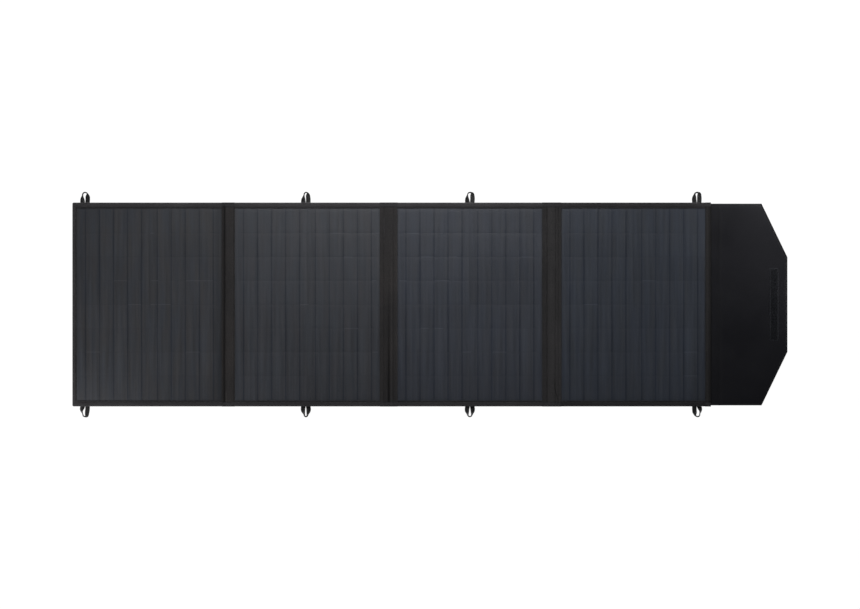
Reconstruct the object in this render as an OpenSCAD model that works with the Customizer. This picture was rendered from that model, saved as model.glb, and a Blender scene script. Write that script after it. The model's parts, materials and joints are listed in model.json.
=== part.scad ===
// Folding solar phone charger: four fabric-framed solar panels in a row, joined by fabric
// hinges, with a closing flap at the right-hand end. It lies open, solar side up.
// X runs along the row, Y across it, Z up. The origin is under the middle of the whole
// charger, on the surface that it lies on. All sizes are in millimetres.

/* [Panel] */
// Width of one panel, along the row
panel_w = 345; // [320:1:380]
// Height of one panel, across the row
panel_h = 456.5; // [440:0.5:480]
// Thickness of one panel
panel_t = 8; // [8:0.5:10]
// Width of the fabric frame at a panel's left and right edges
bezel_side = 10.75; // [8:0.25:14]
// Width of the fabric frame at a panel's top and bottom edges
bezel_end = 13; // [10:0.5:16]
// Thickness of the tape bound round a panel's edge
binding_t = 1; // [0.8:0.1:1.2]

/* [Solar cells] */
// Columns of cells on a panel
cell_cols = 2; // [2:1:2]
// Rows of cells on a panel
cell_rows = 8; // [6:1:8]
// Width of a cell, along the row
cell_w = 156.75; // [140:0.25:158]
// Height of a cell, a third of a full cell
cell_h = 52.25; // [45:0.25:53]
// Gap between the two columns of cells
col_gap = 4; // [2:0.5:5]
// Gap between rows of cells
row_gap = 1; // [0.6:0.2:1.4]

/* [Fabric hinges] */
// Gap between panels 1 and 2
gap_1 = 9; // [8:0.5:14]
// Gap between panels 2 and 3
gap_2 = 18.5; // [14:0.5:20]
// Gap between panels 3 and 4
gap_3 = 22; // [14:0.5:24]
// Height of each fold axis above or below the faces that it closes
fold_rise = 1.2; // [1:0.1:2]
// Diameter of a wire that links two panels inside a hinge
wire_d = 1.6; // [1:0.1:1.8]

/* [Hanging loops] */
// How far a loop stands out of the panel's edge
loop_reach = 24; // [20:1:30]
// Width of a loop where it leaves the panel
loop_w = 20; // [18:1:24]
// Thickness of the webbing loop lying flat
loop_t = 3.6; // [3:0.2:5]

/* [Closing flap] */
// Length of the whole flap, from panel 4 to its end edge
flap_l = 172; // [170:1:200]
// Height of the flap across the row
flap_h = 452; // [430:1:455]
// Straight part of the flap's long edges
flap_straight = 114; // [105:1:120]
// Height of the flap's short end edge
flap_end_h = 212; // [180:1:260]
// Thickness of the flap
flap_t = 4; // [3.5:0.5:5]
// Distance from panel 4 to the first crease of the flap
spine_start = 20; // [19:0.5:22]
// Width of the hook tape
hook_w = 20.4; // [16:0.2:24]
// Length of the hook tape
hook_l = 163; // [140:1:180]
// Distance from the flap's end edge to the hook tape
hook_inset = 20; // [16:1:26]

/* [Carry handle] */
// Distance between the handle's two sewn ends
handle_l = 170; // [150:5:200]
// Width of the handle's webbing
handle_w = 24; // [20:1:26]
// How far the handle's webbing stands off the spine
handle_off = 11; // [7:0.5:12]

/* [Pocket] */
// Size of the rear pocket along the row
pocket_w = 250; // [220:5:280]
// Size of the rear pocket across the row
pocket_h = 180; // [160:5:220]
// Depth of the rear pocket
pocket_d = 20; // [20:0.5:24]

/* [Control box] */
// Size of the control box along the row
box_w = 108; // [106:1:120]
// Size of the control box across the row
box_h = 62; // [60:1:70]
// Depth of the control box
box_d = 17; // [16.5:0.5:17]

/* [Hidden] */

// Levels, from the surface that the charger lies on
back_z = pocket_d;
front_z = back_z + panel_t;
mid_z = (back_z + front_z) / 2;

// Layers of a panel, from the back
cover_t = 0.9;
cell_t = 0.4;
sheet_t = 0.8;
bezel_t = 1;
sheet_z = front_z - bezel_t - sheet_t;
cell_z = sheet_z - cell_t;
board_z = back_z + cover_t;
board_t = cell_z - board_z;

// Places along the row
row_l = 4 * panel_w + gap_1 + gap_2 + gap_3 + flap_l;
row_x = -row_l / 2;
panel_x = [
  row_x,
  row_x + panel_w + gap_1,
  row_x + 2 * panel_w + gap_1 + gap_2,
  row_x + 3 * panel_w + gap_1 + gap_2 + gap_3
];
gaps = [gap_1, gap_2, gap_3];
flap_x = panel_x[3] + panel_w;
pocket_x = panel_x[3] + panel_w / 2;

// Each panel's loop, as a distance from that panel's left edge
loop_at = [28, panel_w / 2 - 4, panel_w / 2, panel_w - 31];

// The flap: its spine is as wide as the folded stack is deep
stack_h = 4 * panel_t + 6 * fold_rise;
tape_t = 1.4;
tape_gap = 1.7;
flap_front_z = back_z + 6.5;
flap_back_z = flap_front_z - flap_t;
flap_skin_t = 1;
spine_rise = 1;
spine_axis_z = flap_front_z + spine_rise;
spine_w = back_z + stack_h + 2 * tape_t + tape_gap - spine_axis_z - spine_rise;
crease_w = 6;
spine_x = flap_x + spine_start;
leaf_x = spine_x + spine_w;
flap_end_x = flap_x + flap_l;
seam_t = 1;

// Rear pocket
wall_t = 2;
lid_t = 1.5;
lid_recess = 0.3;
lid_play = 0.6;
zip_w = 6;
zip_t = 1.2;
zip_z = 3.2;
zip_inset = 14;
slider_l = 14;
slider_w = 9;
slider_t = 1.4;
pull_l = 22;
pull_t = 1;

// Control box
shell_t = 1.8;
box_split = 8;
box_z = back_z - box_d;
port_y = box_h / 2;
board_gap = 2;
pcb_t = 1.6;
pcb_z = back_z - shell_t - board_gap - pcb_t;
usb_a_w = 13.1;
usb_a_h = 5.7;
usb_a_l = 14;
usb_a_x = [-12, 8];
usb_c_w = 8.9;
usb_c_h = 3.2;
usb_c_l = 8;
usb_c_x = 26;
dc_x = -36;
dc_w = 9.4;
dc_h = 9.2;
dc_l = 14;
dc_bore = 5.6;
dc_bore_l = 10;
dc_pin = 2.1;
light_x = 40;
light_d = 3;
port_play = 0.25;
screw_d = 2.6;
screw_head_d = 4.6;
post_d = 6;
post_bite = 0.7;
post_neck_d = post_d - 2 * post_bite - 0.4;
$fn = 48;

// ---- shared shapes ----

// A rectangle with round corners, centred on the origin
module round_rect(w, h, r) {
  square([w - 2 * r, h], center = true);
  square([w, h - 2 * r], center = true);
  for (sx = [-1, 1], sy = [-1, 1]) {
    translate([sx * (w / 2 - r), sy * (h / 2 - r)]) circle(r);
  }
}

// A flat plate with round corners, its lower face at z = 0
module round_plate(w, h, t, r) {
  linear_extrude(t) round_rect(w, h, r);
}

// Puts its children at the middle of panel n (1 to 4), at level z
module at_panel(n, z) {
  translate([panel_x[n - 1] + panel_w / 2, 0, z]) children();
}

// ---- a panel's pieces ----

module panel_bezel(n) {
  window_w = panel_w - 2 * bezel_side;
  window_h = panel_h - 2 * bezel_end;
  color("dimgray") at_panel(n, front_z - bezel_t)
    linear_extrude(bezel_t) difference() {
      round_rect(panel_w - 2 * binding_t, panel_h - 2 * binding_t, 2);
      round_rect(window_w, window_h, 1.5);
    }
}

module front_sheet(n) {
  color("slategray") at_panel(n, sheet_z)
    round_plate(panel_w - 2 * binding_t, panel_h - 2 * binding_t, sheet_t, 2);
}

module solar_cells(n) {
  pitch_x = cell_w + col_gap;
  pitch_y = cell_h + row_gap;
  color("midnightblue") at_panel(n, cell_z)
    for (i = [0:cell_cols - 1], j = [0:cell_rows - 1]) {
      translate([(i - (cell_cols - 1) / 2) * pitch_x, (j - (cell_rows - 1) / 2) * pitch_y, cell_t / 2])
        cube([cell_w, cell_h, cell_t], center = true);
    }
}

module backing_board(n) {
  color("gainsboro") at_panel(n, board_z)
    round_plate(panel_w - 2 * binding_t, panel_h - 2 * binding_t, board_t, 2);
}

module back_cover(n) {
  color("black") at_panel(n, back_z)
    round_plate(panel_w - 2 * binding_t, panel_h - 2 * binding_t, cover_t, 2);
}

module edge_binding(n) {
  color("black") at_panel(n, back_z)
    linear_extrude(panel_t) difference() {
      round_rect(panel_w, panel_h, 3);
      round_rect(panel_w - 2 * binding_t, panel_h - 2 * binding_t, 2);
    }
}

// The outline of a hanging loop that stands out towards +Y from y = 0
module loop_outline() {
  tip_r = 5.5;
  hole_r = 3;
  tip_y = loop_reach - tip_r;
  difference() {
    union() {
      polygon([[-loop_w / 2, 0], [loop_w / 2, 0], [tip_r, tip_y], [-tip_r, tip_y]]);
      translate([0, tip_y]) circle(tip_r);
    }
    translate([0, tip_y]) circle(hole_r);
    polygon([[-1.2, 4], [1.2, 4], [hole_r, tip_y], [-hole_r, tip_y]]);
  }
}

module hang_loops(n) {
  color("black") translate([panel_x[n - 1] + loop_at[n - 1], 0, mid_z - loop_t / 2])
    for (side = [-1, 1]) {
      mirror([0, side < 0 ? 1 : 0, 0]) translate([0, panel_h / 2, 0])
        linear_extrude(loop_t) loop_outline();
    }
}

// ---- fabric hinges between panels n and n + 1 ----

// Two layers of fabric, sewn together at both ends
module hinge_web(n) {
  layer_gap = 2.2;
  web_w = gaps[n - 1];
  web_h = panel_h - 4;
  color("black") translate([panel_x[n] - web_w / 2, 0, mid_z]) difference() {
    cube([web_w, web_h, layer_gap + 2 * seam_t], center = true);
    cube([web_w + 1, web_h - 16, layer_gap], center = true);
  }
}

module link_wires(n) {
  spacing = 22;
  web_w = gaps[n - 1];
  color("firebrick") for (side = [-1, 1]) {
    translate([panel_x[n] - web_w, side * spacing / 2, mid_z])
      rotate([0, 90, 0]) cylinder(h = web_w, d = wire_d);
  }
}

// ---- closing flap ----

// The flap's outline from x = from_x to x = to_x, shrunk by inset
module flap_outline(from_x, to_x, inset) {
  shoulder_x = flap_x + flap_straight;
  half_h = flap_h / 2 - inset;
  half_end = flap_end_h / 2 - inset;
  end_x = flap_end_x - inset;
  intersection() {
    polygon([
      [flap_x, -half_h], [shoulder_x - inset / 2, -half_h], [end_x, -half_end],
      [end_x, half_end], [shoulder_x - inset / 2, half_h], [flap_x, half_h]
    ]);
    translate([from_x, -panel_h]) square([to_x - from_x, 2 * panel_h]);
  }
}

module flap_slab(from_x, to_x, z, t, inset = 0) {
  translate([0, 0, z]) linear_extrude(t) flap_outline(from_x, to_x, inset);
}

module flap_base() {
  color("black") flap_slab(flap_x, spine_x - crease_w / 2, flap_back_z, flap_t);
}

module crease_strip(x) {
  color("black") flap_slab(x - crease_w / 2, x + crease_w / 2, flap_front_z - 2 * seam_t, 2 * seam_t);
}

module spine_web() {
  crease_strip(spine_x);
}

// Fabric sleeve round the spine's stiffener
module spine_cover() {
  from_x = spine_x + crease_w / 2;
  to_x = leaf_x - crease_w / 2;
  color("black") difference() {
    flap_slab(from_x, to_x, flap_back_z, flap_t);
    translate([from_x + flap_skin_t, -flap_h / 2 + 6, flap_back_z + flap_skin_t])
      cube([to_x - from_x - 2 * flap_skin_t, flap_h - 12, flap_t - 2 * flap_skin_t]);
  }
}

module spine_board() {
  from_x = spine_x + crease_w / 2 + flap_skin_t;
  to_x = leaf_x - crease_w / 2 - flap_skin_t;
  color("gainsboro") translate([from_x, -flap_h / 2 + 6, flap_back_z + flap_skin_t])
    cube([to_x - from_x, flap_h - 12, flap_t - 2 * flap_skin_t]);
}

module flap_web() {
  crease_strip(leaf_x);
}

module flap_front_cover() {
  color("black") flap_slab(leaf_x + crease_w / 2, flap_end_x, flap_front_z - flap_skin_t, flap_skin_t);
}

module flap_board() {
  color("gainsboro") flap_slab(leaf_x + crease_w / 2, flap_end_x, flap_back_z + flap_skin_t,
    flap_t - 2 * flap_skin_t, 4);
}

module flap_back_cover() {
  color("black") flap_slab(leaf_x + crease_w / 2, flap_end_x, flap_back_z, flap_skin_t);
}

module hook_tape() {
  color("dimgray") translate([flap_end_x - hook_inset - hook_w / 2, 0, flap_front_z])
    round_plate(hook_w, hook_l, tape_t, 1);
}

// The loop tape lies on panel 1's back, where the folded flap brings the hook tape
module loop_tape() {
  hook_from_leaf = flap_end_x - hook_inset - hook_w / 2 - leaf_x;
  tape_x = hook_from_leaf - spine_start;
  color("dimgray") translate([row_x + tape_x, 0, back_z - tape_t])
    round_plate(hook_w + 8, hook_l + 8, tape_t, 1);
}

// ---- carry handle on the spine's back ----

handle_t = 2.4;
handle_x = spine_x + spine_w / 2;
handle_z = flap_back_z - handle_off - handle_t;
foot_l = 28;
slope_l = 16;

// One half of the webbing's side outline, as [level, distance from the middle]
function handle_upper() = [
  [flap_back_z, handle_l / 2 + foot_l],
  [flap_back_z, handle_l / 2],
  [handle_z + handle_t, handle_l / 2 - slope_l]
];
function handle_lower() = [
  [handle_z, handle_l / 2 - slope_l],
  [flap_back_z - handle_t, handle_l / 2],
  [flap_back_z - handle_t, handle_l / 2 + foot_l]
];
function mirrored(points) = [for (i = [len(points) - 1:-1:0]) [points[i][0], -points[i][1]]];

module carry_handle() {
  half = concat(handle_upper(), mirrored(handle_upper()), mirrored(handle_lower()), handle_lower());
  color("black") translate([handle_x + handle_w / 2, 0, 0]) rotate([0, -90, 0])
    linear_extrude(handle_w) polygon(half);
}

// A soft sleeve round the middle of the webbing
module handle_grip() {
  grip_l = 104;
  grip_wall = 1.4;
  color("black") translate([handle_x, 0, handle_z + handle_t / 2]) rotate([90, 0, 0])
    linear_extrude(grip_l, center = true) difference() {
      round_rect(handle_w + 2 * grip_wall, handle_t + 2 * grip_wall, 1.6);
      square([handle_w, handle_t], center = true);
    }
}

// ---- rear pocket ----

module at_pocket(z) {
  translate([pocket_x, 0, z]) children();
}

module pocket_gusset() {
  color("black") at_pocket(0) linear_extrude(pocket_d) difference() {
    round_rect(pocket_w, pocket_h, 12);
    round_rect(pocket_w - 2 * wall_t, pocket_h - 2 * wall_t, 10);
  }
}

// The lid fills the mouth of the pocket, and leaves a strip for the zip along its upper edge
module pocket_lid() {
  lid_w = pocket_w - 2 * wall_t - 2 * lid_play;
  lid_h = pocket_h - 2 * wall_t - 2 * lid_play;
  color("black") at_pocket(lid_recess) difference() {
    round_plate(lid_w, lid_h, lid_t, 9);
    translate([-lid_w / 2 - 1, lid_h / 2 - slider_w, -1]) cube([lid_w + 2, slider_w + 1, lid_t + 2]);
  }
}

zip_l = pocket_w - 2 * wall_t - 2 * zip_inset;
zip_y = pocket_h / 2 - wall_t - zip_w / 2 - 1;

// The closed teeth, and the tape that holds them to the pocket's upper wall
module zip_chain() {
  tape_w = pocket_h / 2 - wall_t - zip_y - zip_w / 2;
  color("dimgray") at_pocket(zip_z) translate([-zip_l / 2, zip_y - zip_w / 2, 0])
    cube([zip_l, zip_w + tape_w, zip_t]);
}

// The slider stands at the left end of the zip, with its pull lying along the chain
module zip_slider() {
  play = 0.1;
  color("silver") at_pocket(zip_z - play) {
    translate([-zip_l / 2, zip_y - zip_w / 2 - 1, -slider_t]) cube([slider_l, zip_w + 1.5, slider_t]);
    translate([-zip_l / 2 + 4, zip_y - 2, -slider_t - pull_t]) cube([pull_l, 4, pull_t]);
  }
}

// ---- control box in the pocket ----

module box_outline(inset) {
  round_rect(box_w - 2 * inset, box_h - 2 * inset, 4 - inset);
}

// The screw posts stand in the corners, and run a little into the walls
post_x = box_w / 2 - shell_t - post_d / 2 + post_bite;
post_y = box_h / 2 - shell_t - post_d / 2 + post_bite;

module at_posts() {
  for (sx = [-1, 1], sy = [-1, 1]) {
    translate([sx * post_x, sy * post_y, 0]) children();
  }
}

// Cuts for the sockets, through the wall that faces +Y
module port_cuts() {
  for (x = usb_a_x) {
    translate([x, port_y, pcb_z - usb_a_h / 2])
      cube([usb_a_w + 2 * port_play, 3 * shell_t, usb_a_h + 2 * port_play], center = true);
  }
  translate([usb_c_x, port_y, pcb_z - usb_c_h / 2])
    cube([usb_c_w + 2 * port_play, 3 * shell_t, usb_c_h + 2 * port_play], center = true);
  translate([dc_x, port_y, pcb_z - dc_h / 2])
    cube([dc_w + 2 * port_play, 3 * shell_t, dc_h + 2 * port_play], center = true);
}

// The half that is bonded to the panel's back
module box_base() {
  base_z = box_z + box_split;
  color("darkslategray") translate([pocket_x, 0, 0]) difference() {
    union() {
      translate([0, 0, base_z]) linear_extrude(box_d - box_split) difference() {
        box_outline(0);
        box_outline(shell_t);
      }
      translate([0, 0, back_z - shell_t]) linear_extrude(shell_t) box_outline(0);
      at_posts() translate([0, 0, pcb_z + pcb_t]) cylinder(h = board_gap + shell_t, d = post_d);
    }
    port_cuts();
    at_posts() translate([0, 0, pcb_z]) cylinder(h = pcb_t + board_gap + 0.6, d = screw_d);
  }
}

// The half that faces the pocket's lid
module box_cover() {
  color("darkslategray") translate([pocket_x, 0, 0]) difference() {
    union() {
      translate([0, 0, box_z]) linear_extrude(box_split) difference() {
        box_outline(0);
        box_outline(shell_t);
      }
      translate([0, 0, box_z]) linear_extrude(shell_t) box_outline(0);
      at_posts() translate([0, 0, box_z]) {
        cylinder(h = box_split, d = post_d);
        cylinder(h = pcb_z - box_z, d = post_neck_d);
      }
    }
    port_cuts();
    at_posts() translate([0, 0, box_z - 1]) cylinder(h = pcb_z - box_z + 2, d = screw_d + 0.4);
    at_posts() translate([0, 0, box_z - 1]) cylinder(h = 3, d = screw_head_d + 0.4);
    translate([light_x, port_y - 16, box_z - 1]) cylinder(h = shell_t + 2, d = light_d + 0.2);
  }
}

module circuit_board() {
  board_play = 0.5;
  color("darkgreen") translate([pocket_x, 0, pcb_z]) difference() {
    linear_extrude(pcb_t) box_outline(shell_t + board_play);
    at_posts() translate([0, 0, -1]) cylinder(h = pcb_t + 2, d = screw_d + 0.4);
  }
}

// A metal shell, closed at its inner end, with a plastic tongue left inside
module usb_shell(w, h, l, tongue_t, tongue_w, tongue_l) {
  wall = 0.35;
  translate([0, -l, 0]) difference() {
    translate([-w / 2, 0, -h / 2]) cube([w, l, h]);
    translate([-w / 2 + wall, 1.5, -h / 2 + wall]) cube([w - 2 * wall, l, h - 2 * wall]);
  }
  translate([-tongue_w / 2, -l + 1, -tongue_t / 2]) cube([tongue_w, tongue_l, tongue_t]);
}

module usb_a_sockets() {
  color("silver") for (x = usb_a_x) {
    translate([pocket_x + x, port_y, pcb_z - usb_a_h / 2])
      usb_shell(usb_a_w, usb_a_h, usb_a_l, 1.8, 11, 11);
  }
}

module usb_c_socket() {
  color("silver") translate([pocket_x + usb_c_x, port_y, pcb_z - usb_c_h / 2])
    usb_shell(usb_c_w, usb_c_h, usb_c_l, 0.7, 6.7, 6);
}

module dc_outlet() {
  color("black") translate([pocket_x + dc_x, port_y, pcb_z - dc_h / 2]) rotate([90, 0, 0]) {
    difference() {
      translate([-dc_w / 2, -dc_h / 2, 0]) cube([dc_w, dc_h, dc_l]);
      translate([0, 0, -1]) cylinder(h = dc_bore_l + 1, d = dc_bore);
    }
    translate([0, 0, 1]) cylinder(h = dc_bore_l - 1, d = dc_pin);
  }
}

// A clear lens that shows when the panels give power
module status_light() {
  color("limegreen") translate([pocket_x + light_x, port_y - 16, box_z])
    cylinder(h = pcb_z - box_z, d = light_d);
}

cover_gap = 0.3;
cover_w = 80;
cover_plate_t = 1.6;
cover_h = 11.6;
cover_x = -5;
cover_hinge_z = pcb_z + 1.4;

// A rubber strip in front of the sockets, hung from the box's upper edge
module port_cover() {
  color("black") translate([pocket_x + cover_x, port_y + cover_gap, cover_hinge_z]) {
    translate([-cover_w / 2, 0, -cover_h]) cube([cover_w, cover_plate_t, cover_h]);
    translate([-cover_w / 2, cover_plate_t / 2, 0]) rotate([0, 90, 0]) cylinder(h = cover_w, d = cover_plate_t);
  }
}

module box_screws() {
  color("silver") translate([pocket_x, 0, 0]) at_posts() {
    translate([0, 0, box_z + 0.3]) cylinder(h = 1.6, d = screw_head_d);
    translate([0, 0, box_z + 1.5]) cylinder(h = back_z - shell_t - box_z - 2.2, d = screw_d - 0.2);
  }
}

// ---- the charger ----

for (n = [1:4]) {
  panel_bezel(n);
  front_sheet(n);
  solar_cells(n);
  backing_board(n);
  back_cover(n);
  edge_binding(n);
  hang_loops(n);
}
for (n = [1:3]) {
  hinge_web(n);
  link_wires(n);
}
flap_base();
spine_web();
spine_cover();
spine_board();
flap_web();
flap_front_cover();
flap_board();
flap_back_cover();
hook_tape();
loop_tape();
carry_handle();
handle_grip();
pocket_gusset();
pocket_lid();
zip_chain();
zip_slider();
box_base();
box_cover();
circuit_board();
usb_a_sockets();
usb_c_socket();
dc_outlet();
status_light();
port_cover();
box_screws();
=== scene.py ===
import json
import math

import bpy
import bmesh
import numpy as np
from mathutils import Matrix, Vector


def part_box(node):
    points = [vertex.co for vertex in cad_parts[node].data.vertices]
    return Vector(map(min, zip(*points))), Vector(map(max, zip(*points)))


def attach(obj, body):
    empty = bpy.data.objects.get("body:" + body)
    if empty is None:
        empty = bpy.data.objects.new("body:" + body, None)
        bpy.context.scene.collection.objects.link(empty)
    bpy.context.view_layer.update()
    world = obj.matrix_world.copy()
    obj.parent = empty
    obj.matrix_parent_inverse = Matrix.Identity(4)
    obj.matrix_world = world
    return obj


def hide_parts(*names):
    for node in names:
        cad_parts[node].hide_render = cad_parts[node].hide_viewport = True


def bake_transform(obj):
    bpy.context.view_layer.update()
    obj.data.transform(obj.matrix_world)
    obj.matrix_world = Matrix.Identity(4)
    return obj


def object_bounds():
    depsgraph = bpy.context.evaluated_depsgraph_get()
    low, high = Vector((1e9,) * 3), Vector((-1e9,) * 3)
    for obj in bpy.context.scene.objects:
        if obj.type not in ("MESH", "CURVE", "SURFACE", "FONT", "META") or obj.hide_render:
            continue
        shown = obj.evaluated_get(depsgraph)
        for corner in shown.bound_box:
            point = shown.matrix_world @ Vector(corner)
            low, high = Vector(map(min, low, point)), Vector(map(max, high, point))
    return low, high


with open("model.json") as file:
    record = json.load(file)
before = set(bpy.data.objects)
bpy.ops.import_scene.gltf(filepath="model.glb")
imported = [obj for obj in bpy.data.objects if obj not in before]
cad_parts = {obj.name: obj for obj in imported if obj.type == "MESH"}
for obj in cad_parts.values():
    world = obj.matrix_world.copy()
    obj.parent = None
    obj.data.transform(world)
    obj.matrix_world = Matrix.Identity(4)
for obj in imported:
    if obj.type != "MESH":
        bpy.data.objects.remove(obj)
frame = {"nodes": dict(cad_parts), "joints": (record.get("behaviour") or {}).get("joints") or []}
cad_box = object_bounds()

MM = 0.001
UP, DOWN = (0, 0, 1), (0, 0, -1)
nodes = frame["nodes"]


# ---- positions from the frame ----

def box_mm(node):
    """A node's lowest and highest corner, in millimetres."""
    low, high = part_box(node)
    return np.array(low) / MM, np.array(high) / MM


def joint_mm(name):
    """A joint's position, in millimetres."""
    found = [j for j in frame["joints"] if j["name"] == name][0]
    return np.array(found["pos_m"]) / MM


# ---- camera ----

VIEW_DISTANCE = 6.0
VIEW_WIDTH = 1.9255
SENSOR = 36.0

camera = bpy.data.objects.new("camera", bpy.data.cameras.new("camera"))
bpy.context.scene.collection.objects.link(camera)
camera.location = (0, 0, cad_box[1][2] + VIEW_DISTANCE)
camera.data.sensor_width = SENSOR
camera.data.lens = SENSOR * VIEW_DISTANCE / VIEW_WIDTH
camera.data.clip_end = 100
bpy.context.scene.camera = camera


# ---- meshes ----

class Shape:
    """Grids of points gathered into one mesh. Its UV map "cloth" holds metres along each grid."""

    def __init__(self):
        self.points, self.loops, self.sizes = [], [], []
        self.uvs, self.shades, self.slots, self.count = [], [], [], 0

    def grid(self, p, wrap=(False, False), slot=0, shade=1.0, uv=None, caps=False, flip=False):
        """Adds a grid of points in millimetres: (rows, columns, 3), or a stack of such grids."""
        p = np.asarray(p, float)
        if p.ndim == 3:
            p = p[None]
        s, n, m, _ = p.shape
        rows = np.arange(n if wrap[0] else n - 1)
        cols = np.arange(m if wrap[1] else m - 1)
        i, j = (a.ravel() for a in np.meshgrid(rows, cols, indexing="ij"))
        i2, j2 = i + 1, j + 1
        corners = [(i, j), (i2, j), (i2, j2), (i, j2)]
        if flip:
            corners = corners[::-1]
        index = np.stack([(a % n) * m + b % m for a, b in corners], 1)
        index = index[None] + np.arange(s)[:, None, None] * n * m + self.count
        if uv is None:
            long = np.concatenate([p, p[:, :1]], 1)
            wide = np.concatenate([p, p[:, :, :1]], 2)
            u = np.cumsum(np.linalg.norm(np.diff(long, axis=1), axis=3).mean(2), 1)
            v = np.cumsum(np.linalg.norm(np.diff(wide, axis=2), axis=3).mean(1), 1)
            u = np.concatenate([np.zeros((s, 1)), u], 1)
            v = np.concatenate([np.zeros((s, 1)), v], 1)
            flat = np.stack([np.stack([u[:, a], v[:, b]], 2) for a, b in corners], 2)
        else:
            uv = np.asarray(uv, float).reshape(1, n, m, 2)
            uv = np.repeat(uv, s, 0)
            flat = np.stack([uv[:, a % n, b % m] for a, b in corners], 2)
        self.points.append(p.reshape(-1, 3))
        self.loops.append(index.reshape(-1))
        self.uvs.append(flat.reshape(-1, 2))
        self.sizes.append(np.full(index.shape[0] * index.shape[1], 4))
        slot = np.broadcast_to(np.asarray(slot), (s, len(i))) if np.ndim(slot) else np.full((s, len(i)), slot)
        self.slots.append(slot.reshape(-1))
        self.shades.append(np.broadcast_to(np.asarray(shade, float), (s, n, m)).reshape(-1))
        if caps:
            for row, turn in ((0, -1), (n - 1, 1)):
                ring = (np.arange(m) + row * m)[::turn]
                ring = ring[None] + np.arange(s)[:, None] * n * m + self.count
                self.loops.append(ring.reshape(-1))
                self.uvs.append(np.repeat(flat[:, :1, 0], m, 1).reshape(-1, 2))
                self.sizes.append(np.full(s, m))
                self.slots.append(np.full(s, slot.reshape(-1)[0]))
        self.count += s * n * m
        return self

    def tube(self, p, **how):
        """Adds rings of points that close round, with a cap at each end."""
        return self.grid(p, wrap=(False, True), caps=True, **how)

    def field(self, x, y, z, **how):
        """Adds a surface of level z over x and y, with its cloth laid out flat."""
        return self.grid(np.stack([x, y, z], 2), uv=np.stack([x, y], 2), **how)

    def make(self, name, materials, smooth=60.0, weld=False, recalc=True):
        """The object, with its place in its vertices."""
        mesh = bpy.data.meshes.new(name)
        points = np.concatenate(self.points) * MM
        loops = np.concatenate(self.loops)
        sizes = np.concatenate(self.sizes)
        mesh.vertices.add(len(points))
        mesh.vertices.foreach_set("co", points.ravel())
        mesh.loops.add(len(loops))
        mesh.loops.foreach_set("vertex_index", loops.astype(np.int32))
        mesh.polygons.add(len(sizes))
        starts = np.concatenate([[0], np.cumsum(sizes)[:-1]])
        mesh.polygons.foreach_set("loop_start", starts.astype(np.int32))
        mesh.polygons.foreach_set("material_index", np.concatenate(self.slots).astype(np.int32))
        mesh.update(calc_edges=True)
        layer = mesh.uv_layers.new(name="cloth")
        layer.uv.foreach_set("vector", (np.concatenate(self.uvs) * MM).ravel())
        shade = mesh.attributes.new("shade", "FLOAT", "POINT")
        shade.data.foreach_set("value", np.concatenate(self.shades).astype(np.float32))
        mesh.validate()
        if weld or recalc:
            work = bmesh.new()
            work.from_mesh(mesh)
            if weld:
                bmesh.ops.remove_doubles(work, verts=work.verts, dist=1e-6)
            if recalc:
                bmesh.ops.recalc_face_normals(work, faces=work.faces)
            work.to_mesh(mesh)
            work.free()
        mesh.polygons.foreach_set("use_smooth", np.ones(len(mesh.polygons), bool))
        mesh.set_sharp_from_angle(angle=math.radians(smooth))
        for material in materials:
            mesh.materials.append(material)
        obj = bpy.data.objects.new(name, mesh)
        bpy.context.scene.collection.objects.link(obj)
        return obj


def face_up(obj, up=True, index=0):
    """Turns an open sheet over if its face with that index looks the wrong way."""
    if (obj.data.polygons[index].normal.z > 0) != up:
        obj.data.flip_normals()


def points_at(x, y, z):
    """Points from three coordinates, of which any may be a single number."""
    return np.stack(np.broadcast_arrays(x, y, z), -1).astype(float)


def at_level(ring, z):
    """A flat ring of points, put at level z."""
    return points_at(ring[:, 0], ring[:, 1], z)


def round_up(t):
    """A quarter circle's height from 0 to 1."""
    return np.sqrt(np.clip(1 - (1 - np.clip(t, 0, 1)) ** 2, 0, 1))


def circle(steps, radius=1.0, start=0.0):
    """Points round a circle."""
    turn = np.arange(steps) * 2 * math.pi / steps + start
    return np.column_stack([np.cos(turn), np.sin(turn)]) * radius


def inset_rings(low, high, profile, radius, along, across, arc=5, least=None):
    """Rings inside a box. Each point of the profile is (distance in, level)."""
    (x0, y0), (x1, y1) = low[:2], high[:2]
    return np.array([at_level(loop_points(
        x0 + inset, x1 - inset, y0 + inset, y1 - inset,
        radius if least is None else max(radius - inset, least), along, across, arc), z)
        for inset, z in profile])


def solidify(obj, thickness):
    """Gives an open sheet its thickness, in millimetres, behind its faces, and applies it."""
    change = obj.modifiers.new("thickness", "SOLIDIFY")
    change.thickness = thickness * MM
    change.offset = -1.0
    change.use_even_offset = True
    apply(obj)
    obj.data.set_sharp_from_angle(angle=math.radians(50))


def apply(obj):
    """Applies an object's modifiers to its mesh."""
    ready = obj.evaluated_get(bpy.context.evaluated_depsgraph_get())
    mesh = bpy.data.meshes.new_from_object(ready)
    obj.modifiers.clear()
    obj.data = mesh


def ripple(x, y, seed, length):
    """A smooth uneven surface from -1 to 1, with waves of about that length."""
    own = np.random.default_rng(seed)
    total = 0
    for _ in range(7):
        turn, phase = own.uniform(0, 2 * math.pi, 2)
        k = 2 * math.pi / (length * own.uniform(0.6, 1.7))
        total = total + np.sin((x * math.cos(turn) + y * math.sin(turn)) * k + phase)
    return total / 4.5


def bell(t, width):
    return np.exp(-(t / width) ** 2)


def ease(t):
    t = np.clip(t, 0, 1)
    return t * t * (3 - 2 * t)


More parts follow.
